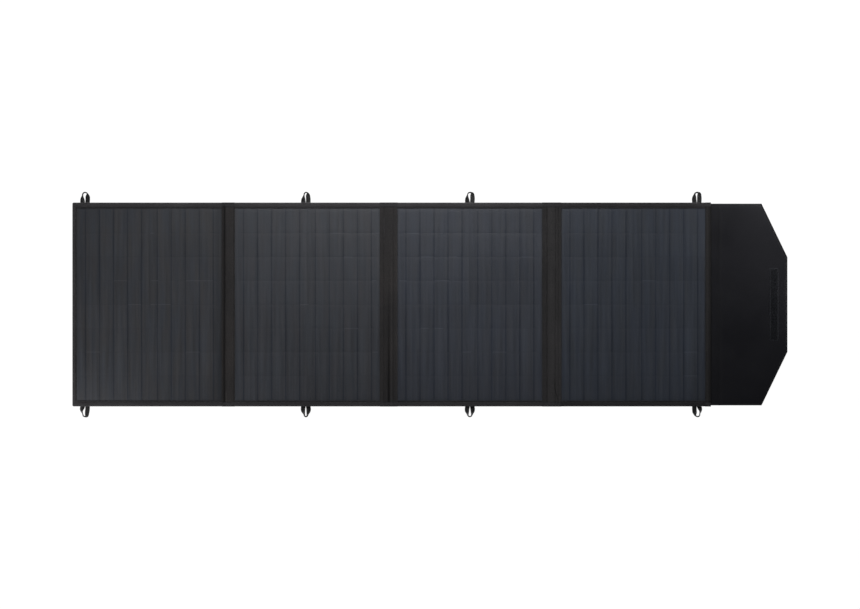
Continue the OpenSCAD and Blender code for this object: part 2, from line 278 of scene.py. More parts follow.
def loop_points(x0, x1, y0, y1, radius, along, across, arc=5):
    """A closed ring round a rectangle with round corners, from its lower left corner."""
    radius = max(radius, 0.05)
    out = []
    spots = [(x0, y0, 180, along), (x1, y0, 270, across), (x1, y1, 0, along), (x0, y1, 90, across)]
    for cx, cy, start, _ in spots:
        cx += radius if cx == x0 else -radius
        cy += radius if cy == y0 else -radius
        turn = np.radians(start + np.linspace(0, 90, arc))
        out.append(np.stack([cx + radius * np.cos(turn), cy + radius * np.sin(turn)], 1))
    ring = []
    for k in range(4):
        ring.append(out[k])
        a, b = out[k][-1], out[(k + 1) % 4][0]
        t = np.linspace(0, 1, spots[k][3] + 2)[1:-1, None]
        ring.append(a + (b - a) * t)
    return np.concatenate(ring)


def stitches(shape, path, normal, pitch=3.4, length=2.5, radius=0.28, slot=0, closed=False, lift=0.05):
    """A row of sewn stitches along a path of points in millimetres."""
    path = np.asarray(path, float)
    if closed:
        path = np.concatenate([path, path[:1]])
    along = np.concatenate([[0], np.cumsum(np.linalg.norm(np.diff(path, axis=0), axis=1))])
    count = max(int(along[-1] / pitch), 1)
    middle = (np.arange(count) + 0.5) * along[-1] / count
    slant = 0.12
    ends = [np.stack([np.interp(middle + d, along, path[:, k]) for k in range(3)], 1)
            for d in (-length / 2, length / 2)]
    axis = ends[1] - ends[0]
    axis /= np.linalg.norm(axis, axis=1, keepdims=True)
    up = np.broadcast_to(np.asarray(normal, float), axis.shape)
    side = np.cross(up, axis)
    steps = np.array([0, 0.16, 0.5, 0.84, 1])
    size = np.array([0.35, 0.85, 1, 0.85, 0.35])
    sink = np.array([-1.1, -0.15, 0.2, -0.15, -1.1]) * radius
    turn = np.arange(6) * math.pi / 3
    centre = ends[0][:, None] + (ends[1] - ends[0])[:, None] * steps[None, :, None]
    centre = centre + up[:, None] * (sink + lift)[None, :, None]
    centre = centre + side[:, None] * (slant * length * (steps - 0.5))[None, :, None]
    ring = (side[:, None, None] * (np.cos(turn)[None, None, :, None] * 1.15)
            + up[:, None, None] * (np.sin(turn)[None, None, :, None] * 0.8))
    p = centre[:, :, None] + ring * (size * radius)[None, :, None, None]
    shape.tube(p, slot=slot)


def sweep(path, outline, ups):
    """Points of an outline [(side, up)] swept along a path, with the given up direction."""
    path, ups = np.asarray(path, float), np.asarray(ups, float)
    tangent = np.gradient(path, axis=0)
    tangent /= np.linalg.norm(tangent, axis=1, keepdims=True)
    ups = ups - tangent * (ups * tangent).sum(1, keepdims=True)
    ups /= np.linalg.norm(ups, axis=1, keepdims=True)
    side = np.cross(tangent, ups)
    outline = np.asarray(outline, float)
    if outline.ndim == 2:
        outline = np.broadcast_to(outline, (len(path),) + outline.shape)
    return path[:, None] + side[:, None] * outline[:, :, :1] + ups[:, None] * outline[:, :, 1:]


def lozenge(width, thick, steps=4, bulge=0.0):
    """The outline of a strap's cross-section, with round edges."""
    half, r = width / 2, thick / 2
    turn = np.linspace(-math.pi / 2, math.pi / 2, steps + 1)
    right = [(half - r + r * math.cos(a), r * math.sin(a)) for a in turn]
    top = [(x, r + bulge * (1 - (x / half) ** 2)) for x in np.linspace(half - r, -half + r, 7)[1:-1]]
    left = [(-x, -y) for x, y in right]
    low = [(-x, -y) for x, y in top]
    return np.array(right + top + left + low)


# ---- materials ----

class Paint:
    """A Principled material, and short ways to add the nodes that feed it."""

    def __init__(self, name, rough, **settings):
        self.mat = bpy.data.materials.new(name)
        self.mat.use_nodes = True
        self.tree = self.mat.node_tree
        self.shader = self.tree.nodes["Principled BSDF"]
        self.shader.inputs["Roughness"].default_value = rough
        for key, value in settings.items():
            self.shader.inputs[key.replace("_", " ")].default_value = value

    def node(self, kind, *inputs, **settings):
        made = self.tree.nodes.new(kind)
        for key, value in settings.items():
            setattr(made, key, value)
        for key, value in enumerate(inputs):
            if value is not None:
                self.feed(made.inputs[key], value)
        return made

    def feed(self, socket, value):
        if isinstance(value, bpy.types.NodeSocket):
            self.tree.links.new(value, socket)
        else:
            socket.default_value = value

    def math(self, operation, a, b=None, c=None):
        return self.node("ShaderNodeMath", a, b, c, operation=operation).outputs[0]

    def uv(self):
        return self.node("ShaderNodeUVMap", uv_map="cloth").outputs[0]

    def spot(self):
        return self.node("ShaderNodeTexCoord").outputs["Object"]

    def split(self, vector):
        return self.node("ShaderNodeSeparateXYZ", vector).outputs

    def noise(self, vector, scale, detail=3.0, rough=0.55):
        made = self.node("ShaderNodeTexNoise", vector)
        made.inputs["Scale"].default_value = scale
        made.inputs["Detail"].default_value = detail
        made.inputs["Roughness"].default_value = rough
        return made.outputs[0]

    def span(self, value, low, high, a=0.0, b=1.0):
        made = self.node("ShaderNodeMapRange", value, a, b, low, high)
        return made.outputs[0]

    def middle(self, noise, low, high):
        """Spreads the middle of a noise's range from low to high."""
        return self.span(noise, low, high, 0.3, 0.7)

    def vary(self, noise, share):
        """A factor that a noise varies by that share either way."""
        return self.middle(noise, 1 - share, 1 + share)

    def stretch(self, vector, by):
        return self.node("ShaderNodeVectorMath", vector, by, operation="MULTIPLY").outputs[0]

    def waves(self, value, factor):
        """The height of round-backed waves along a value."""
        return self.math("ABSOLUTE", self.math("SINE", self.math("MULTIPLY", value, factor)))

    def grain(self, vector, size, **inputs):
        """The distance from the middle of each of a pattern of smooth cells."""
        made = self.node("ShaderNodeTexVoronoi", vector, feature="SMOOTH_F1")
        made.inputs["Scale"].default_value = 1 / size
        for key, value in inputs.items():
            made.inputs[key].default_value = value
        return made.outputs["Distance"]

    def times(self, *values):
        out = values[0]
        for value in values[1:]:
            out = self.math("MULTIPLY", out, value)
        return out

    def shade(self):
        return self.node("ShaderNodeAttribute", attribute_name="shade").outputs["Fac"]

    def colour(self, rgb, factor, other=None, amount=None):
        """The base colour: rgb, mixed towards other by amount, and all multiplied by factor."""
        base = (*rgb, 1)
        if other is not None:
            mix = self.node("ShaderNodeMix", data_type="RGBA")
            self.feed(mix.inputs[0], amount)
            mix.inputs[6].default_value = base
            mix.inputs[7].default_value = (*other, 1)
            base = mix.outputs[2]
        scaled = self.node("ShaderNodeVectorMath", operation="SCALE")
        self.feed(scaled.inputs[0], base if isinstance(base, bpy.types.NodeSocket) else base[:3])
        self.feed(scaled.inputs["Scale"], factor)
        self.tree.links.new(scaled.outputs[0], self.shader.inputs["Base Color"])

    def bump(self, height, distance, strength=1.0, normal=None):
        made = self.node("ShaderNodeBump")
        made.inputs["Strength"].default_value = strength
        made.inputs["Distance"].default_value = distance
        self.feed(made.inputs["Height"], height)
        if normal is not None:
            self.feed(made.inputs["Normal"], normal)
        return made.outputs[0]

    def finish(self, normal=None, rough=None):
        if normal is not None:
            self.feed(self.shader.inputs["Normal"], normal)
        if rough is not None:
            self.feed(self.shader.inputs["Roughness"], rough)
        return self.mat

    def weave(self, vector, pitch):
        """Plain weave: the height of threads that pass over and under, and which way the top one runs."""
        x, y, _ = self.split(vector)
        a = self.math("MULTIPLY", x, math.pi / pitch)
        b = self.math("MULTIPLY", y, math.pi / pitch)
        sa, sb = self.math("SINE", a), self.math("SINE", b)
        over = self.math("GREATER_THAN", self.times(sa, sb), 0.0)
        wa, wb = self.math("ABSOLUTE", sa), self.math("ABSOLUTE", sb)
        first = self.math("POWER", wa, 0.6)
        second = self.math("POWER", wb, 0.6)
        one = self.times(first, self.math("MULTIPLY_ADD", wb, 0.35, 0.65))
        two = self.times(second, self.math("MULTIPLY_ADD", wa, 0.35, 0.65))
        other = self.math("SUBTRACT", 1.0, over)
        height = self.math("ADD", self.times(one, over), self.times(two, other))
        return height, over


def cloth(name, rgb, pitch, rough=0.75, depth=0.12, mottle=0.25, warm=0.0, **settings):
    """Woven synthetic cloth with uneven threads and a little sheen, its thread tops painted lighter and the
    hollows between them painted darker as painted shade.
    """
    paint = Paint(name, rough, **settings)
    uv, spot = paint.uv(), paint.spot()
    height, over = paint.weave(uv, pitch * MM)
    thread = paint.noise(paint.stretch(uv, (60, 900, 1)), 1.0)
    broad = paint.noise(spot, 9.0, 4.0)
    fine = paint.noise(spot, 420.0, 2.0)
    tone = paint.times(
        # painted shade: the weave's thread tops lighter, the hollows between them darker
        paint.span(height, 0.62, 1.12),
        paint.vary(broad, mottle),
        paint.vary(fine, 0.12),
        paint.vary(thread, 0.1),
        paint.span(over, 0.97, 1.03),
        paint.shade(),
    )
    other = tuple(c * k for c, k in zip(rgb, (1.0 + warm, 1.0, 1.0 - warm)))
    paint.colour(rgb, tone, other, paint.span(broad, 0, 1, 0.35, 0.65))
    normal = paint.bump(height, depth * MM)
    normal = paint.bump(fine, 0.15 * MM, 0.5, normal)
    return paint.finish(normal, paint.middle(broad, rough - 0.07, rough + 0.07))


def tape(name, rgb, pitch, rough=0.6, depth=0.15, **settings):
    """Narrow woven tape with slanting ribs."""
    paint = Paint(name, rough, **settings)
    uv, spot = paint.uv(), paint.spot()
    x, y, _ = paint.split(uv)
    slant = paint.math("ADD", x, paint.math("MULTIPLY", y, 0.55))
    rib = paint.waves(slant, math.pi / (pitch * MM))
    cross = paint.waves(y, 2.2 * math.pi / (pitch * MM))
    height = paint.math("ADD", paint.times(rib, 0.75), paint.times(cross, 0.25))
    fine = paint.noise(spot, 500.0, 2.0)
    broad = paint.noise(spot, 14.0, 3.0)
    tone = paint.times(
        # painted shade: the ribs' tops lighter, the grooves between them darker
        paint.span(height, 0.7, 1.15),
        paint.vary(fine, 0.15),
        paint.vary(broad, 0.15),
        paint.shade(),
    )
    paint.colour(rgb, tone)
    normal = paint.bump(height, depth * MM)
    normal = paint.bump(fine, 0.12 * MM, 0.5, normal)
    return paint.finish(normal, paint.middle(fine, rough - 0.06, rough + 0.08))


def coated(name, rgb, rough=0.5, grain=0.55, **settings):
    """Smooth coated cloth or thin leathercloth with a fine pebble grain."""
    paint = Paint(name, rough, **settings)
    spot = paint.spot()
    pebble = paint.grain(spot, grain * 2.4 * MM, Smoothness=0.6)
    fine = paint.noise(spot, 900.0, 2.0)
    broad = paint.noise(spot, 7.0, 4.0)
    tone = paint.times(
        # painted shade: each pebble's top lighter, the hollows between pebbles darker
        paint.span(pebble, 1.1, 0.82, 0.0, 0.8),
        paint.vary(broad, 0.18),
        paint.vary(fine, 0.07),
        paint.shade(),
    )
    warmer = tuple(c * k for c, k in zip(rgb, (1.06, 1.0, 0.95)))
    paint.colour(rgb, tone, warmer, paint.span(broad, 0, 1, 0.35, 0.65))
    normal = paint.bump(pebble, -0.10 * MM)
    normal = paint.bump(fine, 0.06 * MM, 0.6, normal)
    return paint.finish(normal, paint.middle(broad, rough - 0.06, rough + 0.08))


def solid(name, rgb, rough=0.5, grain=160.0, depth=0.03, vary=0.12, **settings):
    """Moulded or metal parts: a fine texture, and slight changes of colour and gloss."""
    paint = Paint(name, rough, **settings)
    spot = paint.spot()
    fine = paint.noise(spot, grain * 12, 2.0)
    broad = paint.noise(spot, grain * 0.3, 5.0, 0.6)
    paint.colour(rgb, paint.times(
        paint.vary(broad, vary),
        paint.vary(fine, 0.06)))
    normal = paint.bump(fine, depth * MM)
    return paint.finish(normal, paint.middle(broad, max(rough - 0.1, 0.05), rough + 0.1))


FINGER_PITCH = 1.55


def film(name, rgb, other, fingers=False, rough=0.42, **settings):
    """Clear dimpled film over the cells, which show through it."""
    paint = Paint(name, rough, **settings)
    spot, uv = paint.spot(), paint.uv()
    dimple = paint.grain(uv, 1.5 * MM, Smoothness=0.8, Randomness=0.55)
    broad = paint.noise(spot, 5.0, 3.0)
    streak, sheen = (paint.noise(paint.stretch(uv, by), 1.0, 3.0) for by in ((170, 5, 1), (55, 8, 1)))
    parts = [
        paint.vary(broad, 0.07),
        paint.vary(streak, 0.12),
        paint.shade(),
    ]
    if fingers:
        _, y, _ = paint.split(uv)
        parts.append(paint.span(paint.waves(y, math.pi / (FINGER_PITCH * MM)), 1.35, 0.96, 0.0, 0.2))
    paint.colour(rgb, paint.times(*parts), other, paint.span(sheen, 0, 1, 0.36, 0.64))
    normal = paint.bump(dimple, 0.22 * MM)
    return paint.finish(normal, paint.middle(streak, rough - 0.05, rough + 0.08))


DARK = {"Specular_IOR_Level": 0.35}
FABRIC = {"Specular_IOR_Level": 0.08, "Sheen_Weight": 0.03, "Sheen_Roughness": 0.5}
COAT = {"Coat_Weight": 0.35, "Coat_Roughness": 0.32, "Coat_IOR": 1.42, "Specular_IOR_Level": 0.3}

M = {
    "cover": cloth("cover_fabric", (0.024, 0.024, 0.025), 0.62, 0.8, **FABRIC),
    "bezel": cloth("bezel_fabric", (0.027, 0.0262, 0.0275), 0.5, 0.72, 0.09, **FABRIC),
    "binding": tape("binding_tape", (0.031, 0.0298, 0.0315), 1.1, **FABRIC),
    "hinge": cloth("hinge_fabric", (0.0275, 0.0262, 0.0270), 0.5, 0.72, 0.09, 0.2, 0.04, **FABRIC),
    "hinge_plain": cloth("hinge_fabric_plain", (0.0290, 0.0278, 0.0285), 0.5, 0.72, 0.09, 0.2, **FABRIC),
    "webbing": tape("webbing", (0.020, 0.020, 0.021), 1.5, 0.5, 0.22, Specular_IOR_Level=0.45,
                    Sheen_Weight=0.2, Sheen_Roughness=0.4),
    "strap": tape("loop_webbing", (0.0118, 0.0118, 0.0122), 1.2, 0.5, 0.15, Specular_IOR_Level=0.22),
    "thread": tape("sewing_thread", (0.034, 0.033, 0.034), 0.35, 0.55, 0.05, **FABRIC),
    "skin": coated("flap_skin", (0.0024, 0.0025, 0.0050), 0.56, Specular_IOR_Level=0.26),
    "board": solid("glass_board", (0.09, 0.085, 0.06), 0.6),
    "silicon": solid("silicon", (0.02, 0.022, 0.035), 0.3),
    "stiffener": solid("stiffener", (0.5, 0.5, 0.47), 0.6),
    "hook": coated("hook_tape", (0.0070, 0.0078, 0.0104), 0.6, 0.5, Specular_IOR_Level=0.15),
    "pile": coated("loop_tape", (0.016, 0.016, 0.017), 0.9, 0.4, Specular_IOR_Level=0.15, Sheen_Weight=0.4),
    "wire": solid("wire_sheath", (0.02, 0.02, 0.021), 0.45),
    "zip_tape": tape("zip_tape", (0.016, 0.016, 0.017), 0.9, **FABRIC),
    "zip_teeth": solid("zip_teeth", (0.020, 0.020, 0.021), 0.35, **DARK),
    "zip_metal": solid("zip_metal", (0.09, 0.09, 0.095), 0.35, Metallic=1.0),
    "plastic": solid("box_plastic", (0.022, 0.022, 0.0235), 0.55, 160, 0.05, **DARK),
    "circuit": solid("circuit", (0.012, 0.07, 0.03), 0.35),
    "steel": solid("port_metal", (0.55, 0.55, 0.57), 0.28, Metallic=1.0),
    "socket": solid("port_plastic", (0.015, 0.015, 0.016), 0.35),
    "lens": solid("light_lens", (0.08, 0.42, 0.12), 0.12, Transmission_Weight=0.3),
    "rubber": solid("soft_rubber", (0.019, 0.019, 0.020), 0.7, 120, 0.06, Specular_IOR_Level=0.3),
    "screw": solid("screw_steel", (0.16, 0.16, 0.165), 0.35, Metallic=1.0),
}


CELL_TONES = {
    1: ((0.0345, 0.0345, 0.0375), (0.031, 0.0340, 0.0410)),
    2: ((0.036, 0.0370, 0.0425), (0.033, 0.0365, 0.044)),
    3: ((0.0340, 0.0370, 0.0455), (0.032, 0.0365, 0.048)),
    4: ((0.0310, 0.0352, 0.0440), (0.029, 0.0345, 0.047)),
}


def films(n):
    """The film's looks on panel n: over a cell, a busbar, the gap between cells, and a painted glint on a
    cross ribbon.
    """
    # The last look is a painted glint: the film made brighter over short bits of cross ribbon.
    parts = (("solar_cell", (1, 1, 1)), ("busbar", (0.60, 0.64, 0.72)), ("back_sheet", (0.88, 0.88, 0.88)),
             ("ribbon_glint", (1.6, 1.6, 1.6)))
    return [film(f"{name}_{n}", *[tuple(np.multiply(tone, share).tolist()) for tone in CELL_TONES[n]],
                 name == "solar_cell", **COAT) for name, share in parts]


FILMS = {n: films(n) for n in range(1, 5)}


def settle(obj, body=None, replaces=()):
    """Puts a piece on its body and hides the CAD nodes that it stands for."""
    if body:
        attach(obj, body)
    if replaces:
        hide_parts(*replaces)
    return obj


# ---- panels ----

LIP_END, LIP_OUTER, LIP_INNER = 9.4, 6.8, 2.2
WINDOW_SIDES = {1: (9.5, 10.75), 2: (9.5, 10.75), 3: (10.75, 10.75), 4: (10.75, 12.2)}
WINDOW_END = 12.9
panels = {n: box_mm(f"edge_binding_{n}") for n in range(1, 5)}
back_z, front_z = panels[4][0][2], panels[4][1][2]
mid_z = (back_z + front_z) / 2
SIDE_STEPS, END_STEPS = 76, 58


def sunk(n, x):
    """How far the front edge of panel n sinks under the cloth that covers its inner sides."""
    (x0, _, _), (x1, _, _) = panels[n]
    left, right = WINDOW_SIDES[n]
    low = 0 if n == 1 else ease((x0 + left - 0.6 - x) / 1.2)
    return 0.75 * np.maximum(low, ease((x - x1 + right - 0.6) / 1.2))


def frame_rings(n, profile, radius=3.0):
    """Rings round panel n. Each point of the profile is (share of the lip, distance in, level)."""
    (x0, y0, _), (x1, y1, _) = panels[n]
    left = LIP_OUTER if n == 1 else LIP_INNER
    right = LIP_INNER
    rings = []
    for share, inset, z in profile:
        ring = loop_points(
            x0 + share * left + inset, x1 - share * right - inset,
            y0 + share * LIP_END + inset, y1 - share * LIP_END - inset,
            max(radius - inset - share * 3, 0.4), END_STEPS, SIDE_STEPS)
        rings.append(at_level(ring, z))
    return np.array(rings)


def build_binding(n):
    """Tape folded over the panel's edges, and sewn down near its inner edge."""
    f, b = front_z, back_z
    outer = [(1, 0.25, f - 0.05), (1, 0.0, f + 0.22), (0.94, 0, f + 0.38), (0.6, 0, f + 0.36),
             (0.25, 0, f + 0.38), (0.06, 0, f + 0.28), (0.01, 0, f - 0.05), (0, -0.02, f - 0.7),
             (0, 0, b + 0.7), (0.01, 0, b + 0.05), (0.06, 0, b - 0.28), (0.25, 0, b - 0.36),
             (0.94, 0, b - 0.36), (1, 0.0, b - 0.22), (1, 0.25, b + 0.05)]
    inner = [(1, 0.2, b + 0.1), (0.25, 0.45, b + 0.1), (0.0, 0.5, b + 0.5), (0.0, 0.5, f - 0.5),
             (0.25, 0.45, f - 0.1), (1, 0.2, f - 0.1)]
    rings = frame_rings(n, outer + inner)
    x, y = rings[..., 0], rings[..., 1]
    pucker = ripple(x, y, 40 + n, 16) * 0.10 + ripple(x, y, 50 + n, 90) * 0.12
    weight = np.zeros(len(rings))
    weight[1:6] = 1
    rings[..., 2] += pucker * weight[:, None]
    weight[0] = weight[6:8] = weight[-3:] = 1
    rings[..., 2] -= sunk(n, x) * weight[:, None]
    weight = np.zeros(len(rings))
    weight[10:14] = 1
    rings[..., 2] -= np.abs(pucker) * 0.5 * weight[:, None]
    # Painted shade and highlight: the tape darker at its inner edge and painted lighter over its outer roll;
    # painted light also makes the top band lighter and panel 4's tape darker.
    shade = np.ones(rings.shape[:2])
    shade[0] = shade[1] = 0.85
    shade[4], shade[5], shade[6], shade[7] = 1.15, 1.8, 2.4, 2.2
    shade *= (0.72 if n == 4 else 1.0) * (1 + 0.2 * ease(y / 40))
    shape = Shape().grid(rings, wrap=(True, True), shade=shade)
    for z, up in ((f + 0.33, 1), (b - 0.33, -1)):
        row = frame_rings(n, [(0.8, 0, z)])[0]
        if up > 0:
            row[:, 2] -= sunk(n, row[:, 0])
        stitches(shape, row, (0, 0, up), closed=True, slot=1, radius=0.24)
    obj = shape.make(f"edge_binding_tape_{n}", [M["binding"], M["thread"]])
    settle(obj, f"panel_{n}", [f"edge_binding_{n}"])


def build_bezel(n):
    """The cloth frame round the laminate, turned under at its inner edge."""
    (x0, y0, _), (x1, y1, _) = panels[n]
    f = front_z
    rings, shades = [], []

    def ring(dx0, dx1, dy, z, radius):
        r = loop_points(x0 + dx0, x1 - dx1, y0 + dy, y1 - dy, radius, END_STEPS, SIDE_STEPS)
        return at_level(r, z)

    left = LIP_OUTER if n == 1 else LIP_INNER
    far_left, far_right = WINDOW_SIDES[n]
    # Each step: share of the way from the binding to the window, change of level, and painted shade: darker
    # in the sunk seam by the binding and where the cloth turns under at the laminate, a little lighter on the
    # raised middle.
    steps = [
        (0.0, -0.30, 0.75), (0.12, -0.26, 0.8), (0.25, -0.12, 0.92), (0.45, -0.05, 0.97), (0.7, -0.02, 1.0),
        (0.86, 0.04, 1.05), (0.95, 0.02, 1.0), (0.99, -0.2, 0.85), (1.0, -0.7, 0.7), (1.0, -0.98, 0.7),
    ]
    rings.append(ring(0.8, 0.8, 0.8, f - 0.5, 1.5))
    shades.append(0.5)
    for t, dz, shade in steps:
        a0 = left + 0.5 + (far_left - left - 0.5) * t
        a1 = LIP_INNER + 0.5 + (far_right - LIP_INNER - 0.5) * t
        b0 = LIP_END + 0.5 + (WINDOW_END - LIP_END - 0.5) * t
        rings.append(ring(a0, a1, b0, f + dz, 1.2))
        shades.append(shade)
    rings.append(ring(0.8, 0.8, 0.8, f - 0.999, 1.5))
    shades.append(0.5)
    rings = np.array(rings)
    x, y = rings[..., 0], rings[..., 1]
    lift = ripple(x, y, 60 + n, 14) * 0.07
    lift[:3] = 0
    lift[-3:] = 0
    rings[..., 2] = np.maximum(rings[..., 2] + lift - sunk(n, x), f - 0.999)
    shape = Shape().grid(rings, wrap=(True, True), shade=np.array(shades)[:, None])
    row = ring(far_left - 1.3, far_right - 1.3, WINDOW_END - 1.3, f - 0.03, 1.0)
    row[:, 2] -= sunk(n, row[:, 0])
    stitches(shape, row, UP, closed=True, slot=1, radius=0.18)
    obj = shape.make(f"front_frame_{n}", [M["bezel"], M["thread"]])
    settle(obj, f"panel_{n}", [f"panel_bezel_{n}"])


CELL_W, CELL_H, COL_GAP, ROW_GAP = 156.75, 52.25, 4.0, 1.0
CELL_ROWS, BUSBARS = 8, 5
BUSBAR_W, BUSBAR_CORE = 3.2, 0.8
RIM, FILM_IN_X, FILM_IN_Y = 0.5, 7.2, 10.5
# Share of the gaps between cells where a painted glint begins.
RIBBON_GLINT_SHARE = 0.10


def spaced(start, size, first, inner):
    """The places of one cell's edges and of the points between, and what lies between them."""
    places = [start, start + RIM] + first + [start + size]
    return places, ["gap", "rim"] + inner + ["rim"]


def cell_columns(x0, x1):
    """Where the film's columns of points stand, and what each strip between them covers."""
    cx = (x0 + x1) / 2
    xs, kinds = [x0 + FILM_IN_X], []
    for start in (cx - CELL_W - COL_GAP / 2, cx + COL_GAP / 2):
        inner, covers, last = [], [], start + RIM
        for k in range(BUSBARS):
            middle = start + (k + 0.5) * CELL_W / BUSBARS
            inner += list(np.linspace(last, middle - BUSBAR_W / 2, 4)[1:])
            last = middle + BUSBAR_W / 2
            inner += [middle - BUSBAR_CORE, middle + BUSBAR_CORE, last]
            covers += ["cell"] * 3 + ["bus"] * 3
        inner += list(np.linspace(last, start + CELL_W - RIM, 4)[1:])
        places, names = spaced(start, CELL_W, inner, covers + ["cell"] * 3)
        xs, kinds = xs + places, kinds + names
    return np.array(xs + [x1 - FILM_IN_X]), kinds + ["gap"]


def cell_rows(y0, y1):
    """The same for the film's rows, with the cell row that each point belongs to."""
    ys, bands, row_of = [y0 + FILM_IN_Y], [], []
    for r in range(CELL_ROWS):
        start = (r - CELL_ROWS / 2) * (CELL_H + ROW_GAP) + ROW_GAP / 2
        inner = list(np.linspace(start + RIM, start + CELL_H - RIM, 7)[1:])
        places, names = spaced(start, CELL_H, inner, ["cell"] * 6)
        ys, bands = ys + places, bands + names
        row_of += [max(r - 1, 0)] + [r] * 8
    return np.array(ys + [y1 - FILM_IN_Y]), bands + ["gap"], np.array(row_of + [CELL_ROWS - 1] * 2)


def film_slots(kinds, bands, own):
    """Which look each patch of film has, with a painted glint on a cross ribbon here and there between cells.
    """
    slot = np.array([[2 if kind == "gap" else 1 if kind == "bus" else 2 if band == "gap" else 0
                      for band in bands] for kind in kinds])
    cells = [i for i, kind in enumerate(kinds) if kind == "cell"]
    for j in range(1, len(bands) - 1):
        if bands[j] == "gap":
            for i in cells[::3]:
                if own.random() < RIBBON_GLINT_SHARE:
                    slot[i:i + own.integers(2, 7), j] = 3
    return slot


def build_laminate(n):
    """The film over the cells: raised cells, sunk gaps, printed busbars and short painted glints along cross
    ribbons.
    """
    (x0, y0, _), (x1, y1, _) = box_mm(f"front_sheet_{n}")
    cx, top = (x0 + x1) / 2, front_z - 1.02
    own = np.random.default_rng(100 + n)
    xs, kinds = cell_columns(x0, x1)
    ys, bands, row_of = cell_rows(y0, y1)
    x, y = np.meshgrid(xs, ys, indexing="ij")
    over_x, over_y = (np.array([name != "gap" for name in names]) for names in (kinds, bands))
    raised = np.zeros(x.shape)
    raised[1:-1, 1:-1] = np.outer(over_x[:-1] & over_x[1:], over_y[:-1] & over_y[1:])
    is_bus = np.array([kind == "bus" for kind in kinds])
    bus = np.concatenate([[False], is_bus[:-1] & is_bus[1:], [False]])
    wave = ripple(x, y, 70 + n, 120) * 0.10 + ripple(x * 2.2, y * 0.4, 80 + n, 60) * 0.05
    edge = np.minimum(np.minimum(x - xs[0], xs[-1] - x), np.minimum(y - ys[0], ys[-1] - y))
    z = top + 0.03 * raised + 0.05 * bus[:, None] * raised + wave * ease(edge / 25) - 0.15
    slot = film_slots(kinds, bands, own)
    tints = 1 + own.normal(0, 0.028, (2, CELL_ROWS)) + np.linspace(0, 0.01, CELL_ROWS)[None]
    tint = tints[(xs >= cx).astype(int)][:, row_of]
    # Each strip between busbars is a little lighter on one side. A painted shadow darkens panel 1's film near
    # its right edge, and painted shade darkens panel 4's towards its right edge.
    strip = 1 + 0.06 * np.sin((xs - xs[0]) / (CELL_W / BUSBARS) * 2 * math.pi + 0.6)
    if n == 1:
        strip *= 1 - 0.35 * ease((xs - xs[-1] + 26) / 18)
    if n == 4:
        strip *= 1 - 0.12 * ease((xs - xs[-1] + 60) / 60)
    shape = Shape().grid(np.stack([x, y, z], 2), uv=np.stack([x - cx, y], 2), slot=slot.ravel(),
                         shade=tint * strip[:, None])
    obj = shape.make(f"front_laminate_{n}", FILMS[n], smooth=80, recalc=False)
    face_up(obj)
    solidify(obj, 0.55)
    settle(obj, f"panel_{n}", [f"front_sheet_{n}"])


def build_back(n):
    """The back cover: plain woven cloth pulled over the board."""
    (x0, y0, z0), (x1, y1, z1) = box_mm(f"back_cover_{n}")
    xs = np.concatenate([[0, 0.6], np.linspace(2, x1 - x0 - 2, 44), [x1 - x0 - 0.6, x1 - x0]]) + x0
    ys = np.concatenate([[0, 0.6], np.linspace(2, y1 - y0 - 2, 56), [y1 - y0 - 0.6, y1 - y0]]) + y0
    x, y = np.meshgrid(xs, ys, indexing="ij")
    edge = np.minimum(np.minimum(x - x0, x1 - x), np.minimum(y - y0, y1 - y))
    soft = ease((edge - 9) / 30)
    z = z0 + 0.1 - soft * (0.25 + 0.16 * ripple(x, y, 90 + n, 70) + 0.05 * ripple(x, y, 95 + n, 24))
    top = np.full(x.shape, z1)
    shape = Shape().field(x, y, z)
    shape.grid(np.stack([x, y, top], 2), uv=np.stack([x, y], 2))
    ring = [(0, j) for j in range(len(ys))] + [(i, len(ys) - 1) for i in range(1, len(xs))]
    ring += [(len(xs) - 1, j) for j in range(len(ys) - 2, -1, -1)]
    ring += [(i, 0) for i in range(len(xs) - 2, 0, -1)]
    wall = np.array([[(x[a], y[a], z[a]) for a in ring], [(x[a], y[a], top[a]) for a in ring]])
    shape.grid(wall, wrap=(False, True))
    obj = shape.make(f"back_cloth_{n}", [M["cover"]], weld=True)
    settle(obj, f"panel_{n}", [f"back_cover_{n}"])


LOOP_W, LOOP_T = 10.6, 2.0


